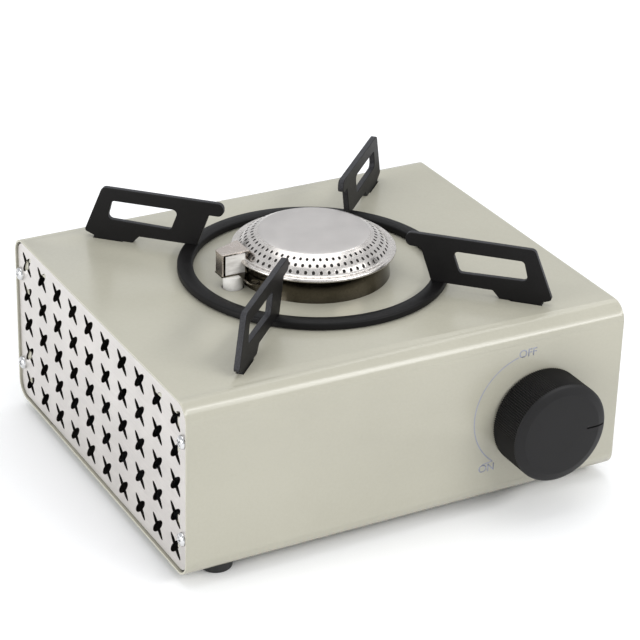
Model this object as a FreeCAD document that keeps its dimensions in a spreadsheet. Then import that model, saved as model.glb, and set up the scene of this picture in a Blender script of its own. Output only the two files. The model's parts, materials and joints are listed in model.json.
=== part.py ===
import FreeCAD, Part

import math
import os
import Sketcher

# Compact butane camping stove: a folded steel box with perforated stainless ends, one
# pressed stainless burner on its deck, a loose pan stand, and inside it the gas valve
# behind the knob, the bay for a lying gas cartridge and the spark igniter.
# Millimetres. X runs to the right, Y to the back, Z up. Every piece is drawn about the
# burner's upright axis with the floor at Z = 0; node() then moves all of them by the same
# amount, so that the origin is the middle of the stove's footprint.

V = FreeCAD.Vector
DOC = FreeCAD.newDocument("camping_stove")

SIZES = [
    # folded box
    ("body_width", 236, "box, left to right"),
    ("body_depth", 202, "box, front to back"),
    ("body_height", 91, "box, without its feet"),
    ("wall", 1.0, "steel sheet of the box"),
    ("bend_radius", 9, "outside radius of the four long bends"),
    ("seam_gap", 0.4, "butt seam along the bottom"),
    ("seam_place", 60, "seam, behind the middle"),
    ("tab_width", 13, "screw tab, in from the front or back face"),
    ("tab_height", 18, "screw tab, along Z"),
    ("lug_length", 23, "stiffening lug on the deck's ends, along Y"),
    ("lug_start", 14, "stiffening lug, from the front or back face"),
    ("lug_drop", 10, "stiffening lug, down from the deck"),
    # perforated end panels
    ("panel_wall", 1.0, "stainless sheet of the end panels"),
    ("edge_gap", 1.0, "gap round an end panel"),
    ("panel_recess", 1.0, "end panel's face, in from the box's open end"),
    ("hole_columns", 10, "X-shaped holes along Y"),
    ("hole_rows", 5, "X-shaped holes along Z"),
    ("hole_margin_across", 13.5, "first hole's middle, from the front face"),
    ("hole_margin_up", 11.5, "first hole's middle, from the box's underside"),
    ("leaf_length", 14.3, "each oval of an X, end to end"),
    ("leaf_width", 4.0, "each oval of an X, at its middle"),
    ("panel_screw_inset", 5.3, "end-panel screws, in from the front or back face"),
    ("panel_screw_spread", 51.2, "end-panel screws, upper to lower"),
    ("panel_screw_radius", 1.75, "M3.5 thread"),
    ("panel_head_radius", 3.5, "M3.5 pan head"),
    ("panel_head_height", 2.3, "M3.5 pan head"),
    ("panel_screw_length", 7, "M3.5 thread"),
    # feet and base tray
    ("foot_height", 5.5, "rubber foot below the box"),
    ("foot_radius", 9, "rubber foot at its top"),
    ("foot_taper", 1.2, "how much narrower a foot is at the floor"),
    ("foot_inset_side", 22.5, "foot's middle, from the box's side"),
    ("foot_inset_end", 15, "left foot's middle, from the box's front or back"),
    ("foot_set_in", 7, "how much further in the right feet are, beside the cartridge"),
    ("foot_bore_radius", 4.6, "recess for the foot's screw head"),
    ("foot_bore_depth", 3.4, "recess for the foot's screw head"),
    ("base_screw_radius", 2.0, "M4 thread"),
    ("base_head_radius", 3.8, "M4 pan head"),
    ("base_head_height", 2.4, "M4 pan head"),
    ("base_screw_length", 6, "M4 thread"),
    ("tray_margin_side", 13, "base tray, in from the box's side"),
    ("tray_margin_end", 9.5, "base tray, in from the box's front or back"),
    # control axis: knob, valve and cartridge share it
    ("control_inset", 47.4, "control axis, in from the right side"),
    ("control_rise", 42, "control axis, above the box's underside"),
    ("knob_radius", 25.8, "knob at its knurled skirt"),
    ("knob_length", 21, "knob, along Y"),
    ("knob_gap", 1.2, "knob's back to the front face"),
    ("knob_face_radius", 20, "flat face of the knob, inside its bevel"),
    ("knob_bevel", 1.6, "bevel, along Y"),
    ("knob_shell", 2.2, "moulded wall of the knob"),
    ("knob_hub_radius", 6, "hub inside the knob"),
    ("pointer_length", 10.5, "pointer groove"),
    ("pointer_width", 1.0, "pointer groove"),
    ("pointer_depth", 2.0, "pointer groove"),
    ("pointer_start", 14.3, "pointer groove, from the knob's axis"),
    ("shaft_radius", 3.0, "knob shaft"),
    ("running_gap", 0.05, "shaft in its bearing, on the radius"),
    ("shaft_hole_radius", 7.5, "hole for the shaft in the front face"),
    ("cam_low_radius", 9, "spark cam where the plunger starts"),
    ("cam_lift", 6, "plunger travel over the knob's whole turn"),
    ("cam_thick", 6, "spark cam, along Y"),
    ("turn_range", 125, "knob turn from off to full on, degrees"),
    ("cover_front", 17, "valve cover's boss, behind the box's front face"),
    # spark igniter
    ("igniter_length", 32, "piezo case, along X"),
    ("igniter_side", 12, "piezo case, across"),
    ("clip_sheet", 1.0, "clip that holds the piezo case to the front wall"),
    ("clip_length", 14, "clip, along X"),
    ("clip_flange", 7, "clip's flanges on the wall"),
    ("clip_place", 8, "clip, from the case's left end"),
    ("igniter_gap", 9, "piezo case's end to the plunger's tip"),
    ("plunger_radius", 3.4, "plunger"),
    ("plunger_gap", 0.3, "plunger to cam, and plunger to its guide"),
    ("plunger_tip_radius", 1.5, "rounded tip that follows the cam"),
    ("plunger_tip_length", 4, "narrow tip"),
    ("plunger_guided", 7, "plunger inside its guide at rest"),
    # valve
    ("valve_radius", 20, "valve body"),
    ("valve_length", 16, "valve body, along Y"),
    ("cover_radius", 22, "valve cover"),
    ("cover_thick", 4, "valve cover, along Y"),
    ("boss_radius", 7, "shaft bearing on the cover"),
    ("boss_length", 4, "shaft bearing on the cover"),
    ("gasket_thick", 0.8, "gasket under the cover"),
    ("bearing_depth", 14, "shaft's bore, from the cover's face"),
    ("shaft_end_gap", 0.5, "shaft's end to the bottom of its bore"),
    ("outlet_rise", 12.5, "gas outlet above the control axis"),
    ("outlet_side", 10, "square outlet arm"),
    ("outlet_reach", 22, "outlet arm, left of the control axis"),
    ("jet_radius", 4, "brass jet"),
    ("jet_length", 8.6, "brass jet outside the arm"),
    ("jet_thread_radius", 2.5, "jet thread inside the arm"),
    ("jet_thread_length", 6, "jet thread inside the arm"),
    ("jet_bore_radius", 0.5, "jet's gas hole"),
    ("valve_screw_circle", 17, "cover screws, from the control axis"),
    ("valve_screw_radius", 1.5, "M3 thread"),
    ("valve_head_radius", 2.75, "M3 pan head"),
    ("valve_head_height", 1.8, "M3 pan head"),
    ("valve_screw_length", 16.8, "M3 thread"),
    ("bracket_thick", 1.2, "valve bracket sheet"),
    ("bracket_width", 56, "valve bracket, along X"),
    ("bracket_top", 26, "valve bracket above the control axis"),
    ("bracket_foot", 14, "valve bracket's foot, along Y"),
    ("neck_radius", 12, "valve's rear neck through the bracket"),
    # cartridge connection and bay
    ("receptor_radius", 22, "cartridge receptor"),
    ("receptor_length", 14, "cartridge receptor, along Y"),
    ("socket_radius", 17.6, "socket for the cartridge's collar"),
    ("socket_depth", 10, "socket for the cartridge's collar"),
    ("magnet_inner", 9, "holding magnet"),
    ("magnet_outer", 15, "holding magnet"),
    ("magnet_thick", 2.4, "holding magnet"),
    ("seal_inner", 2.2, "nozzle seal"),
    ("seal_outer", 5, "nozzle seal"),
    ("seal_thick", 1.6, "nozzle seal"),
    ("gas_way_radius", 1.6, "gas passage"),
    ("cartridge_radius", 34.5, "standard 69 mm gas cartridge that the bay takes"),
    ("cradle_gap", 1.5, "cartridge to the cradle and to the port guide"),
    ("cradle_wall", 1.0, "cradle sheet"),
    ("cradle_angle", 110, "cradle arc, degrees"),
    ("cradle_leg", 5, "width of a cradle leg"),
    ("cradle_leg_spread", 26, "cradle legs, middle to middle"),
    ("guide_wall", 2.0, "port guide ring"),
    ("guide_length", 10.5, "port guide ring, along Y"),
    ("guide_back", 4.5, "port guide, from the box's back face"),
    ("port_gap", 3.0, "cartridge to the port's edge"),
    ("shield_gap", 2.6, "cartridge to the heat shield"),
    ("shield_thick", 1.0, "heat shield sheet"),
    ("shield_foot", 9, "heat shield's foot, along X"),
    ("shield_front", 45, "heat shield, from the box's front face"),
    ("shield_end_gap", 1.5, "heat shield's end to the port guide"),
    ("shield_top_gap", 6, "heat shield under the deck"),
    # burner
    ("bowl_radius", 38, "burner bowl"),
    ("bowl_height", 13, "burner bowl above the deck"),
    ("bowl_corner", 2.6, "rounded foot of the bowl"),
    ("burner_wall", 0.8, "stainless sheet of bowl and cap"),
    ("rim_overhang", 3, "rolled rim of the cap, beyond the bowl"),
    ("rim_depth", 1.4, "rolled rim, down from the bowl's edge"),
    ("cap_flat_inset", 10, "edge of the flat top, in from the bowl's wall"),
    ("cap_rise", 21.4, "flat top above the deck"),
    ("cap_crown", 0.4, "how much the flat top is domed"),
    ("cap_mid_inset", 4, "bulge of the cap's slope, in from the bowl's wall"),
    ("cap_mid_rise", 17.9, "bulge of the cap's slope, above the deck"),
    ("port_count", 64, "flame ports in a row"),
    ("flame_port_radius", 0.75, "flame port"),
    ("tube_radius", 8, "mixing tube, outside"),
    ("tube_wall", 0.8, "mixing tube"),
    ("tube_bend", 22, "mixing tube's bends, at its middle line"),
    ("tube_mouth_radius", 10.5, "bell mouth"),
    ("tube_mouth_length", 8, "bell mouth"),
    ("mouth_gap", 1.6, "jet's tip to the bell mouth"),
    ("tube_rise", 1.5, "mixing tube above the bowl's floor"),
    ("burner_screw_circle", 22, "burner screws, from its axis"),
    # igniter at the burner
    ("electrode_gap", 3.5, "electrode's middle to the cap's rim"),
    ("ceramic_radius", 5, "ceramic insulator"),
    ("ceramic_drop", 12, "ceramic below the deck"),
    ("ceramic_top", 6.4, "ceramic above the deck"),
    ("ceramic_gap", 0.5, "ceramic in the deck's hole"),
    ("electrode_radius", 1.0, "electrode wire"),
    ("electrode_top", 14.5, "electrode above the deck"),
    ("electrode_drop", 3, "electrode below the ceramic"),
    ("electrode_tip", 2, "electrode's bent tip, towards the burner"),
    ("hood_sheet", 0.8, "spark hood sheet"),
    ("hood_top", 18.6, "spark hood above the deck"),
    ("hood_left", 6.8, "hood's outer wall, from the electrode"),
    ("hood_wall_end", 3.7, "hood's back wall, from the electrode towards the cap's rim"),
    ("hood_right", 8.0, "hood's roof over the rim, from the electrode"),
    ("hood_front", 1.8, "hood's open front, in front of the electrode"),
    ("hood_back_left", 5.8, "hood's back wall behind the electrode, at its outer end"),
    ("hood_back_right", 11.6, "hood's roof behind the electrode, over the rim"),
    ("ear_front", 17.2, "mounting ear, in front of the electrode"),
    ("ear_left", 0.9, "mounting ear's outer corner, from the electrode"),
    ("ear_right", 8.1, "mounting ear's corner at the bowl, from the electrode"),
    ("ear_place", 4.9, "hole in the ear, from the electrode"),
    ("ear_hole_front", 13.0, "hole in the ear, in front of the electrode"),
    ("ear_hole_radius", 2.3, "hole in the ear"),
    ("boot_radius", 3.4, "rubber boot on the electrode's lower end"),
    ("boot_length", 6, "rubber boot"),
    ("lead_radius", 1.5, "ignition lead"),
    # pan stand
    ("ring_inner", 59.6, "ring"),
    ("ring_outer", 67.4, "ring"),
    ("ring_lift", 0.5, "ring above the deck"),
    ("ring_thick", 3.5, "ring"),
    ("arm_thick", 3.0, "arm plate"),
    ("arm_rise", 28.4, "pan height above the deck"),
    ("arm_tip", 46.8, "arm's inner end, from the burner's axis"),
    ("arm_tip_depth", 7.0, "arm's inner end, top to bottom"),
    ("arm_throat", 54.5, "where the inner edge turns down"),
    ("arm_root", 60.6, "inner edge at the ring"),
    ("arm_shoulder", 111, "top edge's outer end"),
    ("arm_heel", 121, "outer edge at its foot"),
    ("heel_rise", 3.2, "outer edge's lower end above the deck"),
    ("heel_lift", 1.2, "heel above the deck beside the foot"),
    ("heel_corner", 1.5, "rounded heel"),
    ("foot_start", 95, "arm's foot, inner end"),
    ("foot_end", 115.8, "arm's foot, outer end"),
    ("foot_slope", 3.6, "slope up to the arm's lower edge, along the arm"),
    ("tongue_start", 100.5, "tongue in the deck's slot, inner end"),
    ("tongue_drop", 1.8, "tongue below the deck's surface"),
    ("tongue_gap", 0.5, "tongue to its slot, all round"),
    ("window_inner_top", 70.4, "window's corners, from the burner's axis"),
    ("window_outer_top", 106, "window's corners, from the burner's axis"),
    ("window_outer_low", 108.6, "window's corners, from the burner's axis"),
    ("window_inner_low", 74.4, "window's corners, from the burner's axis"),
    ("window_top_rise", 21.6, "window's top edge above the deck"),
    ("window_low_rise", 10.6, "window's lower edge above the deck"),
    ("arm_corner", 3.0, "rounded outer corners of an arm"),
    ("window_corner", 2.2, "rounded corners of a window"),
]

# Places used by more than one piece, as expressions over the sheet.
BASE = "size.foot_height"
DECK = "(size.foot_height + size.body_height)"
FRONT = "(-size.body_depth / 2)"
BACK = "(size.body_depth / 2)"
SIDE = "(size.body_width / 2)"
PANEL_OUT = "(size.body_width / 2 - size.panel_recess)"
PANEL_IN = "(size.body_width / 2 - size.panel_recess - size.panel_wall)"
TRAY = "(size.foot_height + size.wall * 2)"
AXIS_X = "(size.body_width / 2 - size.control_inset)"
AXIS_Z = "(size.foot_height + size.control_rise)"
FRAME_SHIFT = "(size.knob_gap + size.knob_length) / 2"
COVER_Y = f"({FRONT} + size.cover_front + size.boss_length)"
VALVE_Y = f"({COVER_Y} + size.cover_thick + size.gasket_thick)"
BRACKET_Y = f"({VALVE_Y} + size.valve_length)"
RECEPTOR_Y = f"({BRACKET_Y} + size.bracket_thick)"
RECEPTOR_END = f"({RECEPTOR_Y} + size.receptor_length)"
SOCKET_Y = f"({RECEPTOR_END} - size.socket_depth)"
CAM_MID = f"({FRONT} + size.wall + size.igniter_side / 2)"
CAM_Y = f"({CAM_MID} - size.cam_thick / 2)"
CRADLE_RADIUS = "(size.cartridge_radius + size.cradle_gap)"
SHIELD_X = f"({AXIS_X} - size.cartridge_radius - size.shield_gap - size.shield_thick)"
OUTLET_X = f"({AXIS_X} - size.outlet_reach)"
OUTLET_Y = f"({VALVE_Y} + size.valve_length / 2)"
OUTLET_Z = f"({AXIS_Z} + size.outlet_rise)"
PLUNGER_TIP = f"({AXIS_X} - size.cam_low_radius - size.plunger_gap)"
IGNITER_END = f"({PLUNGER_TIP} - size.igniter_gap)"
IGNITER_START = f"({IGNITER_END} - size.igniter_length)"
GUIDE_Y = f"({BACK} - size.guide_back - size.guide_length)"
RIM = "(size.bowl_radius + size.rim_overhang)"
CAP_FLAT = "(size.bowl_radius - size.cap_flat_inset)"
CAP_MID = "(size.bowl_radius - size.cap_mid_inset)"
ELECTRODE_X = f"(-1 * {RIM} - size.electrode_gap)"
CERAMIC_LOW = f"({DECK} - size.ceramic_drop)"
WIRE_LOW = f"({CERAMIC_LOW} - size.electrode_drop)"
SCREW_Y = "(size.body_depth / 2 - size.panel_screw_inset)"
SCREW_LOW = "(size.foot_height + (size.body_height - size.panel_screw_spread) / 2)"
SCREW_HIGH = "(size.foot_height + (size.body_height + size.panel_screw_spread) / 2)"
FOOT_X = "(size.body_width / 2 - size.foot_inset_side)"
FOOT_Y = "(size.body_depth / 2 - size.foot_inset_end)"
FEET = [(f"-1 * {FOOT_X}", f"-1 * {FOOT_Y}"), (f"-1 * {FOOT_X}", FOOT_Y),
        (FOOT_X, f"size.foot_set_in - {FOOT_Y}"), (FOOT_X, f"{FOOT_Y} - size.foot_set_in")]

AXES = {"x": (V(0, 1, 0), 90), "y": (V(1, 0, 0), -90), "z": (V(0, 0, 1), 0)}
NODES = []


def fill_sheet():
    """Write the driving sizes to the sheet, one named cell each."""
    sheet = DOC.addObject("Spreadsheet::Sheet", "size")
    for row, (alias, value, note) in enumerate(SIZES, start=1):
        sheet.set(f"A{row}", note)
        sheet.set(f"B{row}", str(value))
        sheet.setAlias(f"B{row}", alias)
    DOC.recompute()
    return sheet


SHEET = fill_sheet()


def number(expression):
    """The present value of an expression over the sheet."""
    return float(SHEET.evalExpression(expression.replace("size.", "")))


def bind(item, **expressions):
    """Tie properties to expressions; x, y and z stand for the placement's base."""
    for name, expression in expressions.items():
        item.setExpression(f"Placement.Base.{name}" if name in "xyz" else name, expression)
    return item


def box(size, at):
    """A block from its corner nearest the origin's negative side."""
    item = DOC.addObject("Part::Box", "block")
    return bind(item, Length=size[0], Width=size[1], Height=size[2], x=at[0], y=at[1], z=at[2])


def rod(axis, radius, length, at):
    """A cylinder that starts at a point and runs along +X, +Y or +Z."""
    item = DOC.addObject("Part::Cylinder", "rod")
    item.Placement.Rotation = FreeCAD.Rotation(*AXES[axis])
    return bind(item, Radius=radius, Height=length, x=at[0], y=at[1], z=at[2])


def cone(axis, radius_start, radius_end, length, at):
    """A tapered cylinder that starts at a point and runs along +X, +Y or +Z."""
    item = DOC.addObject("Part::Cone", "cone")
    item.Placement.Rotation = FreeCAD.Rotation(*AXES[axis])
    return bind(item, Radius1=radius_start, Radius2=radius_end, Height=length, x=at[0], y=at[1], z=at[2])


def together(items):
    """Several shapes kept as separate solids in one object."""
    group = DOC.addObject("Part::Compound", "group")
    group.Links = items
    return group


def join(items):
    """Several shapes made one solid."""
    union = DOC.addObject("Part::MultiFuse", "union")
    union.Shapes = items
    union.Refine = True
    return union


def cut(base, tools):
    """The base without its tools."""
    result = DOC.addObject("Part::Cut", "cut")
    result.Base = base
    result.Tool = tools[0] if len(tools) == 1 else together(tools)
    return result


def node(label, item):
    """Name a finished sub-part and move it to the stove's own frame."""
    if item.isDerivedFrom("Part::Primitive"):
        item = together([item])
    item.Label = label
    bind(item, y=FRAME_SHIFT)
    NODES.append(item)
    return item


def new_body(name):
    return DOC.addObject("PartDesign::Body", name)


def origin_part(body, role):
    """One of the body's own origin planes or axes."""
    return next(f for f in body.Origin.OriginFeatures if f.Role == role)


def sketch(body, role, at="0", turn=0):
    """A sketch on the body's own plane, moved along the plane's normal.

    The normal is +Z for XY_Plane, -Y for XZ_Plane and +X for YZ_Plane.
    """
    item = body.newObject("Sketcher::SketchObject", "sketch")
    item.AttachmentSupport = (origin_part(body, role), [""])
    item.MapMode = "FlatFace"
    item.AttachmentOffset = FreeCAD.Placement(V(0, 0, 0), FreeCAD.Rotation(V(0, 0, 1), turn))
    item.setExpression("AttachmentOffset.Base.z", at)
    return item


def pin_point(item, geometry, point, x, y):
    """Hold a sketch point at two expressions, measured from the sketch's origin."""
    for kind, expression in (("DistanceX", x), ("DistanceY", y)):
        index = item.addConstraint(
            Sketcher.Constraint(kind, -1, 1, geometry, point, number(expression)))
        item.setExpression(f"Constraints[{index}]", expression)


def outline(item, points):
    """Close straight lines through points, each given as two expressions."""
    first = item.GeometryCount
    places = [V(number(x), number(y), 0) for x, y in points]
    count = len(points)
    for i in range(count):
        item.addGeometry(Part.LineSegment(places[i], places[(i + 1) % count]), False)
    for i, (x, y) in enumerate(points):
        item.addConstraint(Sketcher.Constraint(
            "Coincident", first + i, 2, first + (i + 1) % count, 1))
        pin_point(item, first + i, 1, x, y)


def rectangle(item, left, low, right, high):
    outline(item, [(left, low), (right, low), (right, high), (left, high)])


def circles(item, places, radius):
    """Equal circles at points given as two expressions each."""
    for x, y in places:
        index = item.addGeometry(Part.Circle(V(number(x), number(y), 0), V(0, 0, 1), number(radius)), False)
        pin_point(item, index, 3, x, y)
        held = item.addConstraint(Sketcher.Constraint("Radius", index, number(radius)))
        item.setExpression(f"Constraints[{held}]", radius)


def oval(item, start, end, width):
    """An ellipse with its long axis between two points given as expressions."""
    p, q = (V(number(x), number(y), 0) for x, y in (start, end))
    across = V(p.y - q.y, q.x - p.x, 0).normalize() * (number(width) / 2)
    centre = (p + q) / 2
    index = item.addGeometry(Part.Ellipse(q, centre + across, centre), False)
    item.exposeInternalGeometry(index)
    long_axis, short_axis = index + 1, index + 2
    drawn_from = item.Geometry[long_axis].StartPoint
    ends = (start, end) if (drawn_from - p).Length < (drawn_from - q).Length else (end, start)
    pin_point(item, long_axis, 1, *ends[0])
    pin_point(item, long_axis, 2, *ends[1])
    held = item.addConstraint(Sketcher.Constraint("Distance", short_axis, number(width)))
    item.setExpression(f"Constraints[{held}]", width)


def pad(body, profile, length, middle=False, reverse=False):
    item = body.newObject("PartDesign::Pad", "pad")
    item.Profile = profile
    item.Midplane = middle
    item.Reversed = reverse
    return bind(item, Length=length)


def pocket(body, profile, length, reverse=False):
    """Cut against the sketch's normal, or along it when reversed."""
    item = body.newObject("PartDesign::Pocket", "pocket")
    item.Profile = profile
    item.Reversed = reverse
    return bind(item, Length=length)


def spin(body, profile, role):
    """Turn a profile full circle about the body's own axis."""
    item = body.newObject("PartDesign::Revolution", "revolution")
    item.Profile = profile
    item.ReferenceAxis = (origin_part(body, role), [""])
    item.Angle = 360
    return item


def around(body, features, count):
    """Repeat features evenly round the body's Z axis."""
    item = body.newObject("PartDesign::PolarPattern", "ring_pattern")
    item.Originals = features
    item.Axis = (origin_part(body, "Z_Axis"), [""])
    item.Angle = 360
    bind(item, Occurrences=count)
    body.Tip = item
    return item


def round_edges(body, base, radius, wanted):
    """Fillet the edges of the base feature that a test on their middle and direction picks."""
    DOC.recompute()
    names = []
    for index, edge in enumerate(base.Shape.Edges, start=1):
        middle = edge.valueAt((edge.FirstParameter + edge.LastParameter) / 2)
        along = edge.tangentAt((edge.FirstParameter + edge.LastParameter) / 2)
        if wanted(middle, along):
            names.append(f"Edge{index}")
    item = body.newObject("PartDesign::Fillet", "fillet")
    item.Base = (base, names)
    return bind(item, Radius=radius)


def runs_along(axis):
    """An edge test: straight along +X, +Y or +Z, whichever way it points."""
    return lambda middle, along: abs(getattr(along, axis)) > 0.999


def screws(label, spots, facing, radius, length, head_radius, head_height):
    """Pan-head screws in one node; each spot is under a head, which faces along `facing`."""
    axis, outward = facing[1], facing[0] == "+"
    place = "xyz".index(axis)
    made = []
    for spot in spots:
        head_at, shaft_at = list(spot), list(spot)
        if outward:
            shaft_at[place] = f"{spot[place]} - {length}"
        else:
            head_at[place] = f"{spot[place]} - {head_height}"
        made.append(join([
            rod(axis, head_radius, head_height, head_at), rod(axis, radius, length, shaft_at)]))
    return node(label, together(made))


# ---------------------------------------------------------------- box

def housing_shell():
    """Front, deck, back and bottom folded from one sheet, open at both ends."""
    body = new_body("shell")
    wrap = sketch(body, "YZ_Plane")
    rectangle(wrap, FRONT, BASE, BACK, DECK)
    block = pad(body, wrap, "size.body_width", middle=True)
    bent = round_edges(body, block, "size.bend_radius", runs_along("x"))
    DOC.recompute()
    ends = [f"Face{i}" for i, face in enumerate(bent.Shape.Faces, start=1)
            if abs(face.normalAt(0, 0).x) > 0.999]
    hollow = body.newObject("PartDesign::Thickness", "hollow")
    hollow.Base = (bent, ends)
    hollow.Reversed = True
    bind(hollow, Value="size.wall")

    # tabs for the end panels' screws, on the front and back walls, and lugs under the deck
    inner_edge = "(size.body_depth / 2 - size.tab_width)"
    outer_edge = "(size.body_depth / 2 - size.wall / 2)"
    lug_near = "(size.body_depth / 2 - size.lug_start)"
    lug_far = "(size.body_depth / 2 - size.lug_start - size.lug_length)"
    for start in (f"{PANEL_IN} - size.wall", f"-{PANEL_IN}"):
        tabs = sketch(body, "YZ_Plane", start)
        for sign in (-1, 1):
            for middle in (SCREW_LOW, SCREW_HIGH):
                rectangle(tabs, f"{sign} * {outer_edge}", f"{middle} - size.tab_height / 2",
                          f"{sign} * {inner_edge}", f"{middle} + size.tab_height / 2")
            rectangle(tabs, f"{sign} * {lug_near}", f"{DECK} - size.lug_drop",
                      f"{sign} * {lug_far}", f"{DECK} - size.wall / 2")
        pad(body, tabs, "size.wall")
    holes = sketch(body, "YZ_Plane", f"-{SIDE}")
    circles(holes, [(f"{i} * {SCREW_Y}", z) for i in (-1, 1) for z in (SCREW_LOW, SCREW_HIGH)],
            "size.panel_screw_radius")
    pocket(body, holes, "size.body_width", reverse=True)

    # deck: mixing tube, burner screws, ceramic, and the slots that locate the pan stand
    deck = sketch(body, "XY_Plane", DECK)
    circles(deck, [("0", "0")], "size.tube_radius")
    circles(deck, [("0", "size.burner_screw_circle"), ("0", "-size.burner_screw_circle")],
            "size.valve_screw_radius")
    circles(deck, [(ELECTRODE_X, "0")], "size.ceramic_radius + size.ceramic_gap")
    pocket(body, deck, "size.wall * 2")
    seat = sketch(body, "XY_Plane", DECK, turn=45)
    rectangle(seat, "size.tongue_start - size.tongue_gap", "-size.arm_thick / 2 - size.tongue_gap",
              "size.foot_end + size.tongue_gap", "size.arm_thick / 2 + size.tongue_gap")
    around(body, [pocket(body, seat, "size.wall * 2")], "4")

    # front: shaft hole; back: cartridge port; bottom: seam and the feet's screws
    front = sketch(body, "XZ_Plane", BACK)
    circles(front, [(AXIS_X, AXIS_Z)], "size.shaft_hole_radius")
    pocket(body, front, "size.wall * 2")
    back = sketch(body, "XZ_Plane", FRONT)
    circles(back, [(AXIS_X, AXIS_Z)], "size.cartridge_radius + size.port_gap")
    pocket(body, back, "size.bend_radius", reverse=True)
    under = sketch(body, "XY_Plane", BASE)
    rectangle(under, f"-{SIDE} - 1", "size.seam_place", f"{SIDE} + 1", "size.seam_place + size.seam_gap")
    pocket(body, under, "size.wall", reverse=True)
    feet = sketch(body, "XY_Plane", BASE)
    circles(feet, FEET, "size.base_screw_radius")
    pocket(body, feet, "size.wall", reverse=True)
    node("housing_shell", body)


def side_panel(label, start):
    """Flat stainless end panel with its grid of X-shaped holes."""
    body = new_body(label)
    inset = "(size.wall + size.edge_gap)"
    plate = sketch(body, "YZ_Plane", start)
    rectangle(plate, f"{FRONT} + {inset}", f"{BASE} + {inset}", f"{BACK} - {inset}", f"{DECK} - {inset}")
    sheet = pad(body, plate, "size.panel_wall")
    round_edges(body, sheet, f"size.bend_radius - {inset}", runs_along("x"))
    holes = sketch(body, "YZ_Plane", start)
    circles(holes, [(f"{i} * {SCREW_Y}", z) for i in (-1, 1) for z in (SCREW_LOW, SCREW_HIGH)],
            "size.panel_screw_radius")
    pocket(body, holes, "size.panel_wall", reverse=True)
    reach = "(size.leaf_length / 2 * sqrt(0.5))"
    y = f"({FRONT} + size.hole_margin_across)"
    z = f"({BASE} + size.hole_margin_up)"
    leaves = []
    for lean in (1, -1):
        leaf = sketch(body, "YZ_Plane", start)
        oval(leaf, (f"{y} - {reach}", f"{z} - {lean} * {reach}"),
             (f"{y} + {reach}", f"{z} + {lean} * {reach}"), "size.leaf_width")
        leaves.append(pocket(body, leaf, "size.panel_wall", reverse=True))
    grid = body.newObject("PartDesign::LinearPattern", "grid")
    grid.Originals = leaves
    grid.Direction = (leaf, ["H_Axis"])
    grid.Direction2 = (leaf, ["V_Axis"])
    bind(grid, Length="size.body_depth - size.hole_margin_across * 2", Occurrences="size.hole_columns",
         Length2="size.body_height - size.hole_margin_up * 2", Occurrences2="size.hole_rows")
    body.Tip = grid
    node(label, body)


def end_panels():
    side_panel("side_panel_left", f"-{PANEL_OUT}")
    side_panel("side_panel_right", PANEL_IN)
    for label, facing, x in (("side_panel_screws_left", "-x", f"-1 * {PANEL_OUT}"),
                             ("side_panel_screws_right", "+x", PANEL_OUT)):
        spots = [(x, f"{i} * {SCREW_Y}", z) for i in (-1, 1) for z in (SCREW_LOW, SCREW_HIGH)]
        screws(label, spots, facing, "size.panel_screw_radius", "size.panel_screw_length",
               "size.panel_head_radius", "size.panel_head_height")


def base():
    """Tray that closes the bottom seam, and the feet screwed through it."""
    body = new_body("tray")
    plate = sketch(body, "XY_Plane", f"{BASE} + size.wall")
    half_x = f"({SIDE} - size.tray_margin_side)"
    half_y = "(size.body_depth / 2 - size.tray_margin_end)"
    rectangle(plate, f"-{half_x}", f"-{half_y}", half_x, half_y)
    pad(body, plate, "size.wall")
    holes = sketch(body, "XY_Plane", f"{BASE} + size.wall")
    circles(holes, FEET, "size.base_screw_radius")
    pocket(body, holes, "size.wall", reverse=True)
    node("base_tray", body)

    rubber = []
    for x, y in FEET:
        pad_of_rubber = cone("z", "size.foot_radius - size.foot_taper", "size.foot_radius",
                             "size.foot_height", (x, y, "0"))
        rubber.append(cut(pad_of_rubber, [
            rod("z", "size.foot_bore_radius", "size.foot_bore_depth", (x, y, "0")),
            rod("z", "size.base_screw_radius", "size.foot_height", (x, y, "0"))]))
    node("rubber_feet", together(rubber))
    screws("foot_screws", [(x, y, "size.foot_bore_depth") for x, y in FEET], "-z",
           "size.base_screw_radius", "size.base_screw_length", "size.base_head_radius",
           "size.base_head_height")


# ---------------------------------------------------------------- burner

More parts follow.
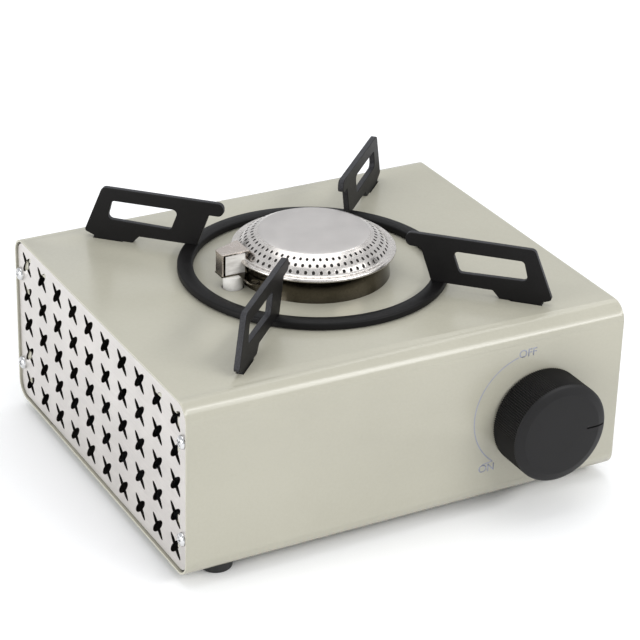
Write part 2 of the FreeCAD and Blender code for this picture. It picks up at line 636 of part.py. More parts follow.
def burner():
    """Bowl standing on the deck, its pressed cap with three rows of flame ports, and screws."""
    body = new_body("bowl")
    profile = sketch(body, "XZ_Plane")
    inner = "size.bowl_radius - size.burner_wall"
    outline(profile, [
        ("size.tube_radius", DECK), ("size.bowl_radius", DECK),
        ("size.bowl_radius", f"{DECK} + size.bowl_height"), (inner, f"{DECK} + size.bowl_height"),
        (inner, f"{DECK} + size.burner_wall"), ("size.tube_radius", f"{DECK} + size.burner_wall")])
    turned = spin(body, profile, "Z_Axis")
    deck, radius, wall = number(DECK), number("size.bowl_radius"), number("size.burner_wall")

    def on_rim(radius, height):
        return lambda middle, along: (abs(middle.z - height) < 0.01
                                      and abs(math.hypot(middle.x, middle.y) - radius) < 0.1)

    outer = round_edges(body, turned, "size.bowl_corner", on_rim(radius, deck))
    round_edges(body, outer, "size.bowl_corner - size.burner_wall", on_rim(radius - wall, deck + wall))
    holes = sketch(body, "XY_Plane", DECK)
    circles(holes, [("0", "size.burner_screw_circle"), ("0", "-size.burner_screw_circle")],
            "size.valve_screw_radius")
    pocket(body, holes, "size.burner_wall", reverse=True)
    node("burner_bowl", body)

    body = new_body("cap")
    profile = sketch(body, "XZ_Plane")
    edge = f"({DECK} + size.bowl_height)"
    top = f"({DECK} + size.cap_rise)"
    middle_z = f"({DECK} + size.cap_mid_rise)"
    wall = "size.burner_wall"
    slope_end = f"({edge} + {wall} * 1.6)"
    outline(profile, [
        ("0", f"{top} + size.cap_crown"), (CAP_FLAT, top), (CAP_MID, middle_z),
        (f"size.bowl_radius - {wall} / 2", slope_end), (f"{RIM} - {wall} * 1.5", f"{edge} + {wall}"),
        (RIM, edge), (RIM, f"{edge} - size.rim_depth"),
        (f"{RIM} - {wall}", f"{edge} - size.rim_depth"), (f"{RIM} - {wall}", edge),
        (f"size.bowl_radius - {wall} * 2", edge), (f"size.bowl_radius - {wall} * 2", f"{edge} + {wall}"),
        (f"{CAP_MID} - {wall} * 0.7", f"{middle_z} - {wall} * 0.8"),
        (f"{CAP_FLAT} - {wall} / 2", f"{top} - {wall}"), ("0", f"{top} + size.cap_crown - {wall}")])
    spin(body, profile, "Z_Axis")
    # three rows down the slope, the middle one between the others' ports
    half_step = "180 / size.port_count"
    rows = [(f"({CAP_FLAT} * 0.55 + {CAP_MID} * 0.45)", f"({top} * 0.55 + {middle_z} * 0.45)", "0"),
            (CAP_MID, middle_z, half_step),
            (f"({CAP_MID} + size.bowl_radius - {wall}) / 2", f"({middle_z} + {slope_end}) / 2", "0")]
    ports = []
    for radius, height, turn in rows:
        tool = body.newObject("PartDesign::SubtractiveCylinder", "port")
        tool.Placement.Rotation = FreeCAD.Rotation(V(0, 0, 1), number(turn)).multiply(
            FreeCAD.Rotation(V(0, 1, 0), 45))
        start = f"({radius} - {wall} * 3 * sqrt(0.5))"
        bind(tool, Radius="size.flame_port_radius", Height=f"{wall} * 6", x=f"{start} * cos({turn})",
             y=f"{start} * sin({turn})", z=f"{height} - {wall} * 3 * sqrt(0.5)")
        ports.append(tool)
    around(body, ports, "size.port_count")
    node("burner_cap", body)

    # sheet-metal screws from below, through the deck into the bowl's floor
    spots = [("0", f"{i} * size.burner_screw_circle", f"{DECK} - size.wall") for i in (-1, 1)]
    screws("burner_screws", spots, "-z", "size.valve_screw_radius", "size.wall + size.burner_wall * 4",
           "size.valve_head_radius", "size.valve_head_height")


def bent_path(points, radii):
    """Straight runs joined by tangent arcs, with one radius for each inner point."""
    edges, start = [], points[0]
    for here, after, radius in zip(points[1:-1], points[2:], radii):
        back, ahead = (start - here).normalize(), (after - here).normalize()
        half_angle = back.getAngle(ahead) / 2
        reach = radius / math.tan(half_angle)
        toward = (back + ahead).normalize()
        middle = here + toward * (radius / math.sin(half_angle) - radius)
        first, last = here + back * reach, here + ahead * reach
        edges += [Part.LineSegment(start, first).toShape(), Part.Arc(first, middle, last).toShape()]
        start = last
    edges.append(Part.LineSegment(start, points[-1]).toShape())
    return Part.Wire(edges)


def swept(path, radius):
    """A solid round tube of one radius along a path."""
    first = path.OrderedEdges[0]
    ring = Part.Wire(Part.Circle(first.valueAt(first.FirstParameter),
                                 first.tangentAt(first.FirstParameter), radius).toShape())
    return path.makePipeShell([ring], True, True)


def shaped(label, shape):
    """A node whose shape is made by Part's own functions."""
    item = DOC.addObject("Part::Feature", label)
    item.Shape = shape
    return node(label, item)


def mixing_tube():
    """Bell mouth in front of the jet, a level run under the deck, and a rise into the bowl."""
    radius, wall = number("size.tube_radius"), number("size.tube_wall")
    mouth = number("size.tube_mouth_radius")
    level, front = number(OUTLET_Z), number(OUTLET_Y)
    start = number(f"{OUTLET_X} - size.jet_length - size.mouth_gap")
    inner_end = start - number("size.tube_mouth_length")
    top = number(f"{DECK} + size.burner_wall + size.tube_rise")
    route = [V(inner_end, front, level), V(0, front, level), V(0, 0, level), V(0, 0, top)]
    path = bent_path(route, [number("size.tube_bend")] * 2)
    bell = Part.makeCone(mouth, radius, start - inner_end, V(start, front, level), V(-1, 0, 0))
    hollow_bell = Part.makeCone(mouth - wall, radius - wall, start - inner_end,
                                V(start, front, level), V(-1, 0, 0))
    outside = swept(path, radius).fuse(bell)
    shaped("mixing_tube", outside.cut(swept(path, radius - wall)).cut(hollow_bell))


def spark_electrode():
    """Ceramic insulator through the deck, its wire, and the rubber boot on its lower end."""
    height = "size.ceramic_drop + size.ceramic_top"
    node("electrode_insulator", cut(
        rod("z", "size.ceramic_radius", height, (ELECTRODE_X, "0", CERAMIC_LOW)),
        [rod("z", "size.electrode_radius", height, (ELECTRODE_X, "0", CERAMIC_LOW))]))
    tip_z = f"{DECK} + size.electrode_top - size.electrode_radius"
    node("electrode_wire", join([
        rod("z", "size.electrode_radius", f"{DECK} + size.electrode_top - {WIRE_LOW}",
            (ELECTRODE_X, "0", WIRE_LOW)),
        rod("x", "size.electrode_radius", "size.electrode_tip", (ELECTRODE_X, "0", tip_z))]))
    boot_low = f"({CERAMIC_LOW} - size.boot_length)"
    node("lead_boot", cut(
        rod("z", "size.boot_radius", "size.boot_length", (ELECTRODE_X, "0", boot_low)),
        [rod("z", "size.lead_radius", "size.boot_length", (ELECTRODE_X, "0", boot_low))]))


def spark_hood():
    """Bent sheet: a plate on the ceramic with an ear beside the bowl, two walls and a roof."""
    body = new_body("hood")
    front, low = "-size.hood_front", f"{DECK} + size.ceramic_top"
    left = f"({ELECTRODE_X} - size.hood_left)"
    wall_end = f"({ELECTRODE_X} + size.hood_wall_end)"
    right = f"({ELECTRODE_X} + size.hood_right)"
    slope = "((size.hood_back_right - size.hood_back_left) / (size.hood_left + size.hood_right))"
    back_end = f"(size.hood_back_left + {slope} * (size.hood_left + size.hood_wall_end))"
    back_left = (left, "size.hood_back_left")
    sheet = "size.hood_sheet"

    plate = sketch(body, "XY_Plane", low)
    outline(plate, [
        (left, front), (f"{ELECTRODE_X} + size.ear_left", "-size.ear_front"),
        (f"{ELECTRODE_X} + size.ear_right", "-size.ear_front"),
        (f"-size.bowl_radius - {sheet} / 2", front), (wall_end, back_end), back_left])
    pad(body, plate, sheet)
    walls = sketch(body, "XY_Plane", low)
    outline(walls, [
        (left, front), (f"{left} + {sheet}", front), (f"{left} + {sheet}", f"size.hood_back_left - {sheet}"),
        (wall_end, f"{back_end} - {sheet}"), (wall_end, back_end), back_left])
    pad(body, walls, "size.hood_top - size.ceramic_top")
    roof = sketch(body, "XY_Plane", f"{DECK} + size.hood_top - {sheet}")
    outline(roof, [(left, front), (right, front), (right, "size.hood_back_right"), back_left])
    pad(body, roof, sheet)
    ear_hole = (f"{ELECTRODE_X} + size.ear_place", "-size.ear_hole_front")
    for place, radius in ((ear_hole, "size.ear_hole_radius"), ((ELECTRODE_X, "0"), "size.electrode_radius")):
        hole = sketch(body, "XY_Plane", low)
        circles(hole, [place], radius)
        pocket(body, hole, sheet, reverse=True)
    node("spark_hood", body)


# ---------------------------------------------------------------- knob, valve and igniter

def knob():
    """Moulded knob with a bevelled face and pointer groove, its shaft and the spark cam."""
    back = f"({FRONT} - size.knob_gap)"
    face = f"({back} - size.knob_length)"
    inside = f"({face} + size.knob_bevel + size.knob_shell)"
    body = new_body("knob")
    profile = sketch(body, "YZ_Plane")
    outline(profile, [
        (face, "0"), (face, "size.knob_face_radius"), (f"{face} + size.knob_bevel", "size.knob_radius"),
        (back, "size.knob_radius"), (back, "size.knob_radius - size.knob_shell"),
        (inside, "size.knob_radius - size.knob_shell"), (inside, "size.knob_hub_radius"),
        (back, "size.knob_hub_radius"), (back, "size.shaft_radius"), (inside, "size.shaft_radius"),
        (inside, "0")])
    spin(body, profile, "Y_Axis")
    groove = sketch(body, "XZ_Plane", f"-1 * {face}")
    rectangle(groove, "size.pointer_start", "-size.pointer_width / 2",
              "size.pointer_start + size.pointer_length", "size.pointer_width / 2")
    pocket(body, groove, "size.pointer_depth")
    bind(body, x=AXIS_X, z=AXIS_Z)
    node("knob", body)

    shaft_end = f"({COVER_Y} + size.bearing_depth - size.shaft_end_gap)"
    node("knob_shaft", rod("y", "size.shaft_radius", f"{shaft_end} - {inside}", (AXIS_X, inside, AXIS_Z)))

    # seen from the front the cam's radius grows steadily, turn for turn, past the plunger's side
    low, lift = number("size.cam_low_radius"), number("size.cam_lift")
    turn = number("size.turn_range")
    contact, dwell_end = 180, 300
    centre = V(number(AXIS_X), number(CAM_Y), number(AXIS_Z))

    def rim(angle):
        if angle < contact:
            radius = low + lift * (contact - angle) / turn
        elif angle < dwell_end:
            radius = low
        else:
            share = (angle - dwell_end) / (360 + contact - turn - dwell_end)
            radius = low + lift * (1 - math.cos(math.pi * share)) / 2
        return centre + V(math.cos(math.radians(angle)), 0, math.sin(math.radians(angle))) * radius

    peak = contact - turn
    rise = Part.BSplineCurve()
    rise.interpolate([rim(peak + turn * i / 12) for i in range(13)])
    dwell = Part.Arc(rim(contact), rim((contact + dwell_end) / 2), rim(dwell_end))
    climb = Part.BSplineCurve()
    climb.interpolate([rim(dwell_end + (360 + peak - dwell_end) * i / 12) for i in range(13)])
    edge = Part.Wire([rise.toShape(), dwell.toShape(), climb.toShape()])
    thick = number("size.cam_thick")
    disc = Part.Face(edge).extrude(V(0, thick, 0))
    shaft_hole = Part.makeCylinder(number("size.shaft_radius"), thick, centre, V(0, 1, 0))
    shaped("ignition_cam", disc.cut(shaft_hole))


def igniter():
    """Piezo case clipped to the front wall, and the plunger that the cam pushes in."""
    half = "size.igniter_side / 2"
    case = box(("size.igniter_length", "size.igniter_side", "size.igniter_side"),
               (IGNITER_START, f"{CAM_MID} - {half}", f"{AXIS_Z} - {half}"))
    depth = "(size.plunger_guided + size.cam_lift + 2)"
    guide = rod("x", "size.plunger_radius + size.plunger_gap", depth,
                (f"{IGNITER_END} - {depth}", CAM_MID, AXIS_Z))
    node("piezo_igniter", cut(case, [guide]))

    wall_y = f"({FRONT} + size.wall)"
    clip_x = f"({IGNITER_START} + size.clip_place)"
    outer = f"({half} + size.clip_sheet)"
    reach = f"({outer} + size.clip_flange)"
    bridge = box(("size.clip_length", "size.igniter_side + size.clip_sheet", f"{outer} * 2"),
                 (clip_x, wall_y, f"{AXIS_Z} - {outer}"))
    flanges = box(("size.clip_length", "size.clip_sheet", f"{reach} * 2"),
                  (clip_x, wall_y, f"{AXIS_Z} - {reach}"))
    room = box(("size.clip_length", "size.igniter_side", "size.igniter_side"),
               (clip_x, wall_y, f"{AXIS_Z} - {half}"))
    node("igniter_clip", cut(join([bridge, flanges]), [room]))

    neck = f"({PLUNGER_TIP} - size.plunger_tip_length)"
    inner = f"({IGNITER_END} - size.plunger_guided)"
    ball = DOC.addObject("Part::Sphere", "ball")
    bind(ball, Radius="size.plunger_tip_radius", x=f"{PLUNGER_TIP} - size.plunger_tip_radius", y=CAM_MID,
         z=AXIS_Z)
    node("igniter_plunger", join([
        rod("x", "size.plunger_radius", f"{neck} - {inner}", (inner, CAM_MID, AXIS_Z)),
        rod("x", "size.plunger_tip_radius", "size.plunger_tip_length - size.plunger_tip_radius",
            (neck, CAM_MID, AXIS_Z)), ball]))


def ignition_lead():
    """Cable that drops from the ceramic, passes under the mixing tube and ends at the piezo case."""
    top_x, top_z = number(ELECTRODE_X), number(WIRE_LOW)
    front, axis = number(CAM_MID), number(AXIS_Z)
    route = [V(top_x, 0, top_z), V(top_x, 0, top_z - 24), V(-40, -30, 42), V(-22, -66, 40),
             V(-6, front, axis), V(number(IGNITER_START), front, axis)]
    radii = []
    for before, here, after in zip(route, route[1:], route[2:]):
        half_angle = (before - here).getAngle(after - here) / 2
        shorter = min((before - here).Length, (after - here).Length)
        radii.append(0.45 * shorter * math.tan(half_angle))
    path = bent_path(route, radii)
    radius = number("size.lead_radius")
    lead = swept(path, radius)
    share = lead.Volume / (math.pi * radius ** 2 * path.Length)
    print(f"ignition lead {path.Length:.0f} mm, bends {[round(r) for r in radii]}, volume share {share:.3f}")
    shaped("ignition_lead", lead)


def valve():
    """Die-cast valve body with its cover, gasket, screws, jet and bracket."""
    across = [("1", "0"), ("-1", "0"), ("0", "1"), ("0", "-1")]
    spots = [(f"{AXIS_X} + {i} * size.valve_screw_circle", f"{AXIS_Z} + {j} * size.valve_screw_circle")
             for i, j in across]
    shaft_bore = "size.shaft_radius + size.running_gap"

    def screw_holes(start, length):
        return [rod("y", "size.valve_screw_radius", length, (x, start, z)) for x, z in spots]

    half = "size.outlet_side / 2"
    casting = join([
        rod("y", "size.valve_radius", "size.valve_length", (AXIS_X, VALVE_Y, AXIS_Z)),
        rod("y", "size.neck_radius", "size.bracket_thick", (AXIS_X, BRACKET_Y, AXIS_Z)),
        box(("size.outlet_reach", "size.outlet_side", "size.outlet_side"),
            (OUTLET_X, f"{OUTLET_Y} - {half}", f"{OUTLET_Z} - {half}"))])
    ways = [
        rod("y", shaft_bore, f"{COVER_Y} + size.bearing_depth - {VALVE_Y}", (AXIS_X, VALVE_Y, AXIS_Z)),
        rod("y", "size.gas_way_radius", f"{RECEPTOR_Y} - {OUTLET_Y}", (AXIS_X, OUTLET_Y, AXIS_Z)),
        rod("z", "size.gas_way_radius", "size.outlet_rise", (AXIS_X, OUTLET_Y, AXIS_Z)),
        rod("x", "size.gas_way_radius", "size.outlet_reach", (OUTLET_X, OUTLET_Y, OUTLET_Z)),
        rod("x", "size.jet_thread_radius", "size.jet_thread_length", (OUTLET_X, OUTLET_Y, OUTLET_Z))]
    screw_depth = "size.valve_screw_length - size.cover_thick - size.gasket_thick"
    node("valve_body", cut(casting, ways + screw_holes(VALVE_Y, screw_depth)))

    boss_y = f"({COVER_Y} - size.boss_length)"
    cover = join([rod("y", "size.cover_radius", "size.cover_thick", (AXIS_X, COVER_Y, AXIS_Z)),
                  rod("y", "size.boss_radius", "size.boss_length", (AXIS_X, boss_y, AXIS_Z))])
    bearing = rod("y", shaft_bore, "size.boss_length + size.cover_thick", (AXIS_X, boss_y, AXIS_Z))
    node("valve_cover", cut(cover, [bearing] + screw_holes(COVER_Y, "size.cover_thick")))

    gasket_y = f"({COVER_Y} + size.cover_thick)"
    sheet = rod("y", "size.valve_radius", "size.gasket_thick", (AXIS_X, gasket_y, AXIS_Z))
    middle = rod("y", "size.boss_radius", "size.gasket_thick", (AXIS_X, gasket_y, AXIS_Z))
    node("valve_gasket", cut(sheet, [middle] + screw_holes(gasket_y, "size.gasket_thick")))
    screws("valve_screws", [(x, COVER_Y, z) for x, z in spots], "-y", "size.valve_screw_radius",
           "size.valve_screw_length", "size.valve_head_radius", "size.valve_head_height")

    tip, length = f"({OUTLET_X} - size.jet_length)", "size.jet_length + size.jet_thread_length"
    shoulder = "(size.jet_length * 0.6)"
    brass = join([
        rod("x", "size.jet_radius", shoulder, (f"{OUTLET_X} - {shoulder}", OUTLET_Y, OUTLET_Z)),
        rod("x", "size.jet_thread_radius", length, (tip, OUTLET_Y, OUTLET_Z))])
    node("gas_jet", cut(brass, [rod("x", "size.jet_bore_radius", length, (tip, OUTLET_Y, OUTLET_Z))]))

    left = f"({AXIS_X} - size.bracket_width / 2)"
    upright = box(("size.bracket_width", "size.bracket_thick", f"{AXIS_Z} + size.bracket_top - {TRAY}"),
                  (left, BRACKET_Y, TRAY))
    foot = box(("size.bracket_width", "size.bracket_foot", "size.bracket_thick"), (left, BRACKET_Y, TRAY))
    neck = rod("y", "size.neck_radius", "size.bracket_thick", (AXIS_X, BRACKET_Y, AXIS_Z))
    node("valve_bracket", cut(join([upright, foot]), [neck]))


# ---------------------------------------------------------------- cartridge bay

def cartridge_bay():
    """Receptor with magnet and seal, the cradle under the cartridge, port guide and heat shield."""
    def ring(outer, inner, length, start):
        return cut(rod("y", outer, length, (AXIS_X, start, AXIS_Z)),
                   [rod("y", inner, length, (AXIS_X, start, AXIS_Z))])

    magnet_y, seal_y = f"({SOCKET_Y} - size.magnet_thick)", f"({SOCKET_Y} - size.seal_thick)"
    node("cartridge_receptor", cut(
        rod("y", "size.receptor_radius", "size.receptor_length", (AXIS_X, RECEPTOR_Y, AXIS_Z)),
        [rod("y", "size.socket_radius", "size.socket_depth", (AXIS_X, SOCKET_Y, AXIS_Z)),
         ring("size.magnet_outer", "size.magnet_inner", "size.magnet_thick", magnet_y),
         rod("y", "size.seal_outer", "size.seal_thick", (AXIS_X, seal_y, AXIS_Z)),
         rod("y", "size.gas_way_radius", "size.receptor_length", (AXIS_X, RECEPTOR_Y, AXIS_Z))]))
    node("receptor_magnet", ring("size.magnet_outer", "size.magnet_inner", "size.magnet_thick", magnet_y))
    node("nozzle_seal", ring("size.seal_outer", "size.seal_inner", "size.seal_thick", seal_y))

    start = f"({RECEPTOR_END} + size.cradle_leg)"
    length = f"({GUIDE_Y} - {start})"
    trough = rod("y", f"{CRADLE_RADIUS} + size.cradle_wall", length, (AXIS_X, start, AXIS_Z))
    # a cylinder's angle starts at its own X axis; turned so that the arc hangs evenly below
    hang = FreeCAD.Rotation(V(0, 1, 0), 90 - number("size.cradle_angle") / 2)
    trough.Placement.Rotation = hang.multiply(FreeCAD.Rotation(*AXES["y"]))
    bind(trough, Angle="size.cradle_angle")
    legs = [box(("size.cradle_leg", length, f"{AXIS_Z} - size.cartridge_radius * 0.9 - {TRAY}"),
                (f"{AXIS_X} + {side} * size.cradle_leg_spread / 2 - size.cradle_leg / 2", start, TRAY))
            for side in (-1, 1)]
    node("cartridge_cradle", cut(join([trough] + legs), [
        rod("y", CRADLE_RADIUS, length, (AXIS_X, start, AXIS_Z))]))
    guide_outer = f"{CRADLE_RADIUS} + size.guide_wall"
    node("port_guide", ring(guide_outer, CRADLE_RADIUS, "size.guide_length", GUIDE_Y))

    front = f"({FRONT} + size.shield_front)"
    along = f"({GUIDE_Y} - size.shield_end_gap - {front})"
    top = f"({DECK} - size.wall - size.shield_top_gap)"
    node("heat_shield", join([
        box(("size.shield_thick", along, f"{top} - {TRAY}"), (SHIELD_X, front, TRAY)),
        box(("size.shield_foot", along, "size.shield_thick"),
            (f"{SHIELD_X} - size.shield_foot", front, TRAY)),
        box(("size.cartridge_radius * 1.8", along, "size.shield_thick"),
            (SHIELD_X, front, f"{top} - size.shield_thick"))]))


# ---------------------------------------------------------------- pan stand

def pan_stand():
    """A flat ring with four plate arms on the box's diagonals, lifted off in one piece."""
    body = new_body("stand_ring")
    profile = sketch(body, "XZ_Plane")
    low = f"({DECK} + size.ring_lift)"
    rectangle(profile, "size.ring_inner", low, "size.ring_outer", f"{low} + size.ring_thick")
    spin(body, profile, "Z_Axis")
    node("stand_ring", body)

    top = f"({DECK} + size.arm_rise)"
    throat = f"{top} - size.arm_tip_depth"
    tongue = f"{DECK} - size.tongue_drop"
    under = f"{low} + size.ring_thick"
    for index, name in enumerate(("back_right", "back_left", "front_left", "front_right")):
        body = new_body(name)
        plate = sketch(body, "XZ_Plane")
        outline(plate, [
            ("size.arm_tip", top), ("size.arm_shoulder", top),
            ("size.arm_heel", f"{DECK} + size.heel_rise"), ("size.foot_end", f"{DECK} + size.heel_lift"),
            ("size.foot_end", tongue), ("size.tongue_start", tongue), ("size.tongue_start", DECK),
            ("size.foot_start", DECK), ("size.foot_start - size.foot_slope", under),
            ("size.arm_root", under), ("size.arm_throat", throat), ("size.arm_tip", throat)])
        blank = pad(body, plate, "size.arm_thick", middle=True)
        shoulder, tip = number("size.arm_shoulder"), number("size.arm_tip")
        high = number(throat)
        rounded = round_edges(body, blank, "size.arm_corner", lambda middle, along:
                              abs(along.y) > 0.999 and middle.z > high - 0.1
                              and (middle.x > shoulder - 0.1 or middle.x < tip + 0.1))
        round_edges(body, rounded, "size.heel_corner", lambda middle, along:
                    abs(along.y) > 0.999 and middle.x > number("size.arm_heel") - 0.1)
        window = sketch(body, "XZ_Plane", "-size.arm_thick / 2")
        outline(window, [
            ("size.window_inner_low", f"{DECK} + size.window_low_rise"),
            ("size.window_outer_low", f"{DECK} + size.window_low_rise + 0.8"),
            ("size.window_outer_top", f"{DECK} + size.window_top_rise"),
            ("size.window_inner_top", f"{DECK} + size.window_top_rise")])
        opened = pocket(body, window, "size.arm_thick", reverse=True)
        inner, outer = number("size.window_inner_top"), number("size.window_outer_low")
        sill, lintel = number(f"{DECK} + size.window_low_rise"), number(f"{DECK} + size.window_top_rise")
        round_edges(body, opened, "size.window_corner", lambda middle, along:
                    abs(along.y) > 0.999 and inner - 0.1 < middle.x < outer + 0.1
                    and sill - 0.1 < middle.z < lintel + 0.1)
        body.Placement.Rotation = FreeCAD.Rotation(V(0, 0, 1), 45 + 90 * index)
        node(f"stand_arm_{name}", body)


def check_and_write():
    """Stop on any failed object or bad shape, then write one STEP file for each node."""
    DOC.recompute()
    for item in DOC.Objects:
        if "Invalid" in item.State or "Error" in item.State:
            raise RuntimeError(f"{item.Label} ({item.Name}) failed: {item.State}")
    os.makedirs("parts", exist_ok=True)
    for item in NODES:
        if item.Shape.isNull() or not item.Shape.isValid():
            raise RuntimeError(f"{item.Label} has no valid shape")
        item.Shape.exportStep(f"parts/{item.Label}.step")
        solids = len(item.Shape.Solids)
        print(f"{item.Label:24} solids {solids:2} volume {item.Shape.Volume:10.1f} mm3")


housing_shell()
end_panels()
base()
burner()
mixing_tube()
spark_electrode()
spark_hood()
knob()
igniter()
ignition_lead()
valve()
cartridge_bay()
pan_stand()
check_and_write()
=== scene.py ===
import json
import math

import bpy
from mathutils import Matrix, Vector


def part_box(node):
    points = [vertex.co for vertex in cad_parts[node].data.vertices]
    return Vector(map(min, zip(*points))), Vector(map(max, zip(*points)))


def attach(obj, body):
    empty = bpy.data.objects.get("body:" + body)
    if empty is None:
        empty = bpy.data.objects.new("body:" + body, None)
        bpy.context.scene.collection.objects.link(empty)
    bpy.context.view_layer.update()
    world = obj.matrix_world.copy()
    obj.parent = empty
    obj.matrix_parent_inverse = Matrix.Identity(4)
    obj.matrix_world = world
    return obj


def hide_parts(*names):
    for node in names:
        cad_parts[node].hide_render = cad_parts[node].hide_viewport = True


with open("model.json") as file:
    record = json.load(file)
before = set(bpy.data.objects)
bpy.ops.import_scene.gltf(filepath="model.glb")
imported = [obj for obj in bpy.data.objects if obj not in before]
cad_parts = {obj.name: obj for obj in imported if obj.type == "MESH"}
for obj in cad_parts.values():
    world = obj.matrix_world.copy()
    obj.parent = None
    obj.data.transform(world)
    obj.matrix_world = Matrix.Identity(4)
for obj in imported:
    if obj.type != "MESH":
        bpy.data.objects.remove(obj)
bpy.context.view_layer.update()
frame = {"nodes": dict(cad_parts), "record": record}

# Compact camping stove: the looks of its pieces, in metres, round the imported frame.
# Sizes in the code are millimetres unless they say otherwise; MM turns them to metres.
MM = 0.001
MERGE = 0.001 * MM
X, Y, Z = Vector((1, 0, 0)), Vector((0, 1, 0)), Vector((0, 0, 1))

bpy.context.scene.view_settings.view_transform = "Standard"


# ---------------------------------------------------------------- places on the frame
# The burner's place is on its axis at the deck, the knob's on its axis at its back.
box_low, box_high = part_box("housing_shell")
DECK = box_high.z
FRONT = box_low.y
bowl_low, bowl_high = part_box("burner_bowl")
BURNER = Vector(((bowl_low.x + bowl_high.x) / 2, (bowl_low.y + bowl_high.y) / 2, DECK))
knob_low, knob_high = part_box("knob")
KNOB = Vector(((knob_low.x + knob_high.x) / 2, knob_high.y, (knob_low.z + knob_high.z) / 2))


# ---------------------------------------------------------------- materials
def linear(code):
    """An sRGB hex colour as the linear colour that a shader takes."""
    parts = [int(code[place:place + 2], 16) / 255 for place in (1, 3, 5)]
    return [p / 12.92 if p <= 0.04045 else ((p + 0.055) / 1.055) ** 2.4 for p in parts] + [1.0]


def add(material, kind, values=None, links=None, **settings):
    """Adds one node with its settings, the values of its sockets and the links into them."""
    node = material.node_tree.nodes.new(kind)
    for name, value in settings.items():
        setattr(node, name, value)
    for name, value in (values or {}).items():
        node.inputs[name].default_value = value
    for name, socket in (links or {}).items():
        material.node_tree.links.new(socket, node.inputs[name])
    return node


def finish(name, dark, light, rough, grain, bump, patch=30.0, stretch=(1, 1, 1), contrast=0.5, **constants):
    """A finish with fine grain and broad patches. dark and light are the ends of its colour,
    rough the ends of its roughness, grain the size of one grain and patch that of one patch,
    bump the height of a grain. stretch draws the grain out along an axis. The noise keeps
    mostly between the ramp's two places, so both ends show."""
    material = bpy.data.materials.new(name)
    material.use_nodes = True
    tree = material.node_tree
    shader = tree.nodes["Principled BSDF"]
    place = add(material, "ShaderNodeTexCoord")
    drawn = add(material, "ShaderNodeMapping", {"Scale": stretch}, {"Vector": place.outputs["Object"]})
    fine = add(material, "ShaderNodeTexNoise", {"Scale": 1 / (grain * MM), "Detail": 3.0, "Roughness": 0.6},
               {"Vector": drawn.outputs["Vector"]})
    broad = add(material, "ShaderNodeTexNoise", {"Scale": 1 / (patch * MM), "Detail": 4.0, "Roughness": 0.55},
                {"Vector": place.outputs["Object"]})
    both = add(material, "ShaderNodeMix", {"Factor": contrast},
               {"A": broad.outputs["Fac"], "B": fine.outputs["Fac"]}, data_type="FLOAT")
    tint = add(material, "ShaderNodeValToRGB", links={"Fac": both.outputs["Result"]})
    tint.color_ramp.elements[0].position = 0.36
    tint.color_ramp.elements[0].color = linear(dark)
    tint.color_ramp.elements[1].position = 0.64
    tint.color_ramp.elements[1].color = linear(light)
    sheen = add(material, "ShaderNodeMapRange", {"From Min": 0.35, "From Max": 0.65, "To Min": rough[0],
                                                "To Max": rough[1]}, {"Value": both.outputs["Result"]})
    relief = add(material, "ShaderNodeBump", {"Strength": 1.0, "Distance": bump * MM},
                 {"Height": fine.outputs["Fac"]})
    tree.links.new(tint.outputs["Color"], shader.inputs["Base Color"])
    tree.links.new(sheen.outputs["Result"], shader.inputs["Roughness"])
    tree.links.new(relief.outputs["Normal"], shader.inputs["Normal"])
    for socket, value in constants.items():
        shader.inputs[socket.replace("_", " ")].default_value = value
    return material


# Polyester powder coat on steel, sprayed and baked: a warm grey-beige with a satin skin and
# the faint orange peel that melting powder leaves, about 1.5 mm from hump to hump.
powder_coat = finish("powder_coated_steel", "#AAA798", "#AFAC9D", (0.23, 0.27), 1.5, 0.002,
                     patch=60.0, contrast=0.35, IOR=1.5)
# Painted shade for the sheet's inner side: flat and nearly black, standing in for the shadow inside the box.
painted_shade_inside = finish("painted_shade_inside_box", "#2E2B27", "#3A3631", (0.70, 0.85), 0.9, 0.01,
                     patch=20.0, contrast=0.4, IOR=1.45)
# Stainless sheet, cold rolled and pierced: satin, with the fine lengthwise grain of rolling.
rolled_stainless = finish("rolled_stainless_steel", "#C9C5C1", "#D8D4D0", (0.34, 0.46), 0.5, 0.003,
                          stretch=(1, 0.03, 1), contrast=0.6, Metallic=1.0)
# Painted shade for the walls of the punched holes: the same steel, torn rough, and darkened to stand in for
# the shadow in the holes.
shaded_hole_walls = finish("painted_shade_on_hole_walls", "#2B2926", "#3D3A36", (0.45, 0.60), 0.3, 0.01,
                      patch=3.0, contrast=0.6, Metallic=1.0)
# Stainless sheet, pressed and buffed: bright, with the faint haze of the buffing wheel.
buffed_stainless = finish("buffed_stainless_steel", "#C6C1BC", "#DAD5D0", (0.20, 0.32), 0.7, 0.002,
                          patch=9.0, contrast=0.4, Metallic=1.0)
# The same sheet, mirror-polished, with a dark brown colour: a painted reflection of the dark surroundings
# that the bowl and the hood's base mirror. Dark and clear.
dark_reflection_stainless = finish("stainless_with_painted_dark_reflection", "#4E493F", "#645E53", (0.07, 0.14), 0.9, 0.003,
                          patch=14.0, contrast=0.4, Metallic=1.0)
# Stainless sheet as it leaves the press: an even, slightly cloudy satin.
satin_stainless = finish("satin_stainless_steel", "#BFBBB8", "#C8C4C1", (0.36, 0.46), 0.6, 0.003,
                         patch=12.0, contrast=0.4, Metallic=1.0)
# Nickel plate on folded steel: warm and bright, with shallow marks from the folding tool.
nickel_plate = finish("nickel_plated_steel", "#C3B9B0", "#CDC4BC", (0.24, 0.30), 0.9, 0.001,
                      patch=12.0, contrast=0.4, Metallic=1.0)
# Mica insulation in the hood, pressed from flakes: off-white, with the flakes' edges across it.
pressed_mica = finish("pressed_mica", "#D2CEC8", "#EAE7E2", (0.30, 0.45), 1.1, 0.03,
                      patch=5.0, stretch=(0.2, 1, 1), contrast=0.8, IOR=1.56)
# Chrome plate on machined steel: hard, bright and almost clear.
chrome_plate = finish("chrome_plated_steel", "#C9C9C9", "#DCDCDC", (0.08, 0.16), 0.6, 0.002,
                      patch=3.0, contrast=0.5, Metallic=1.0)
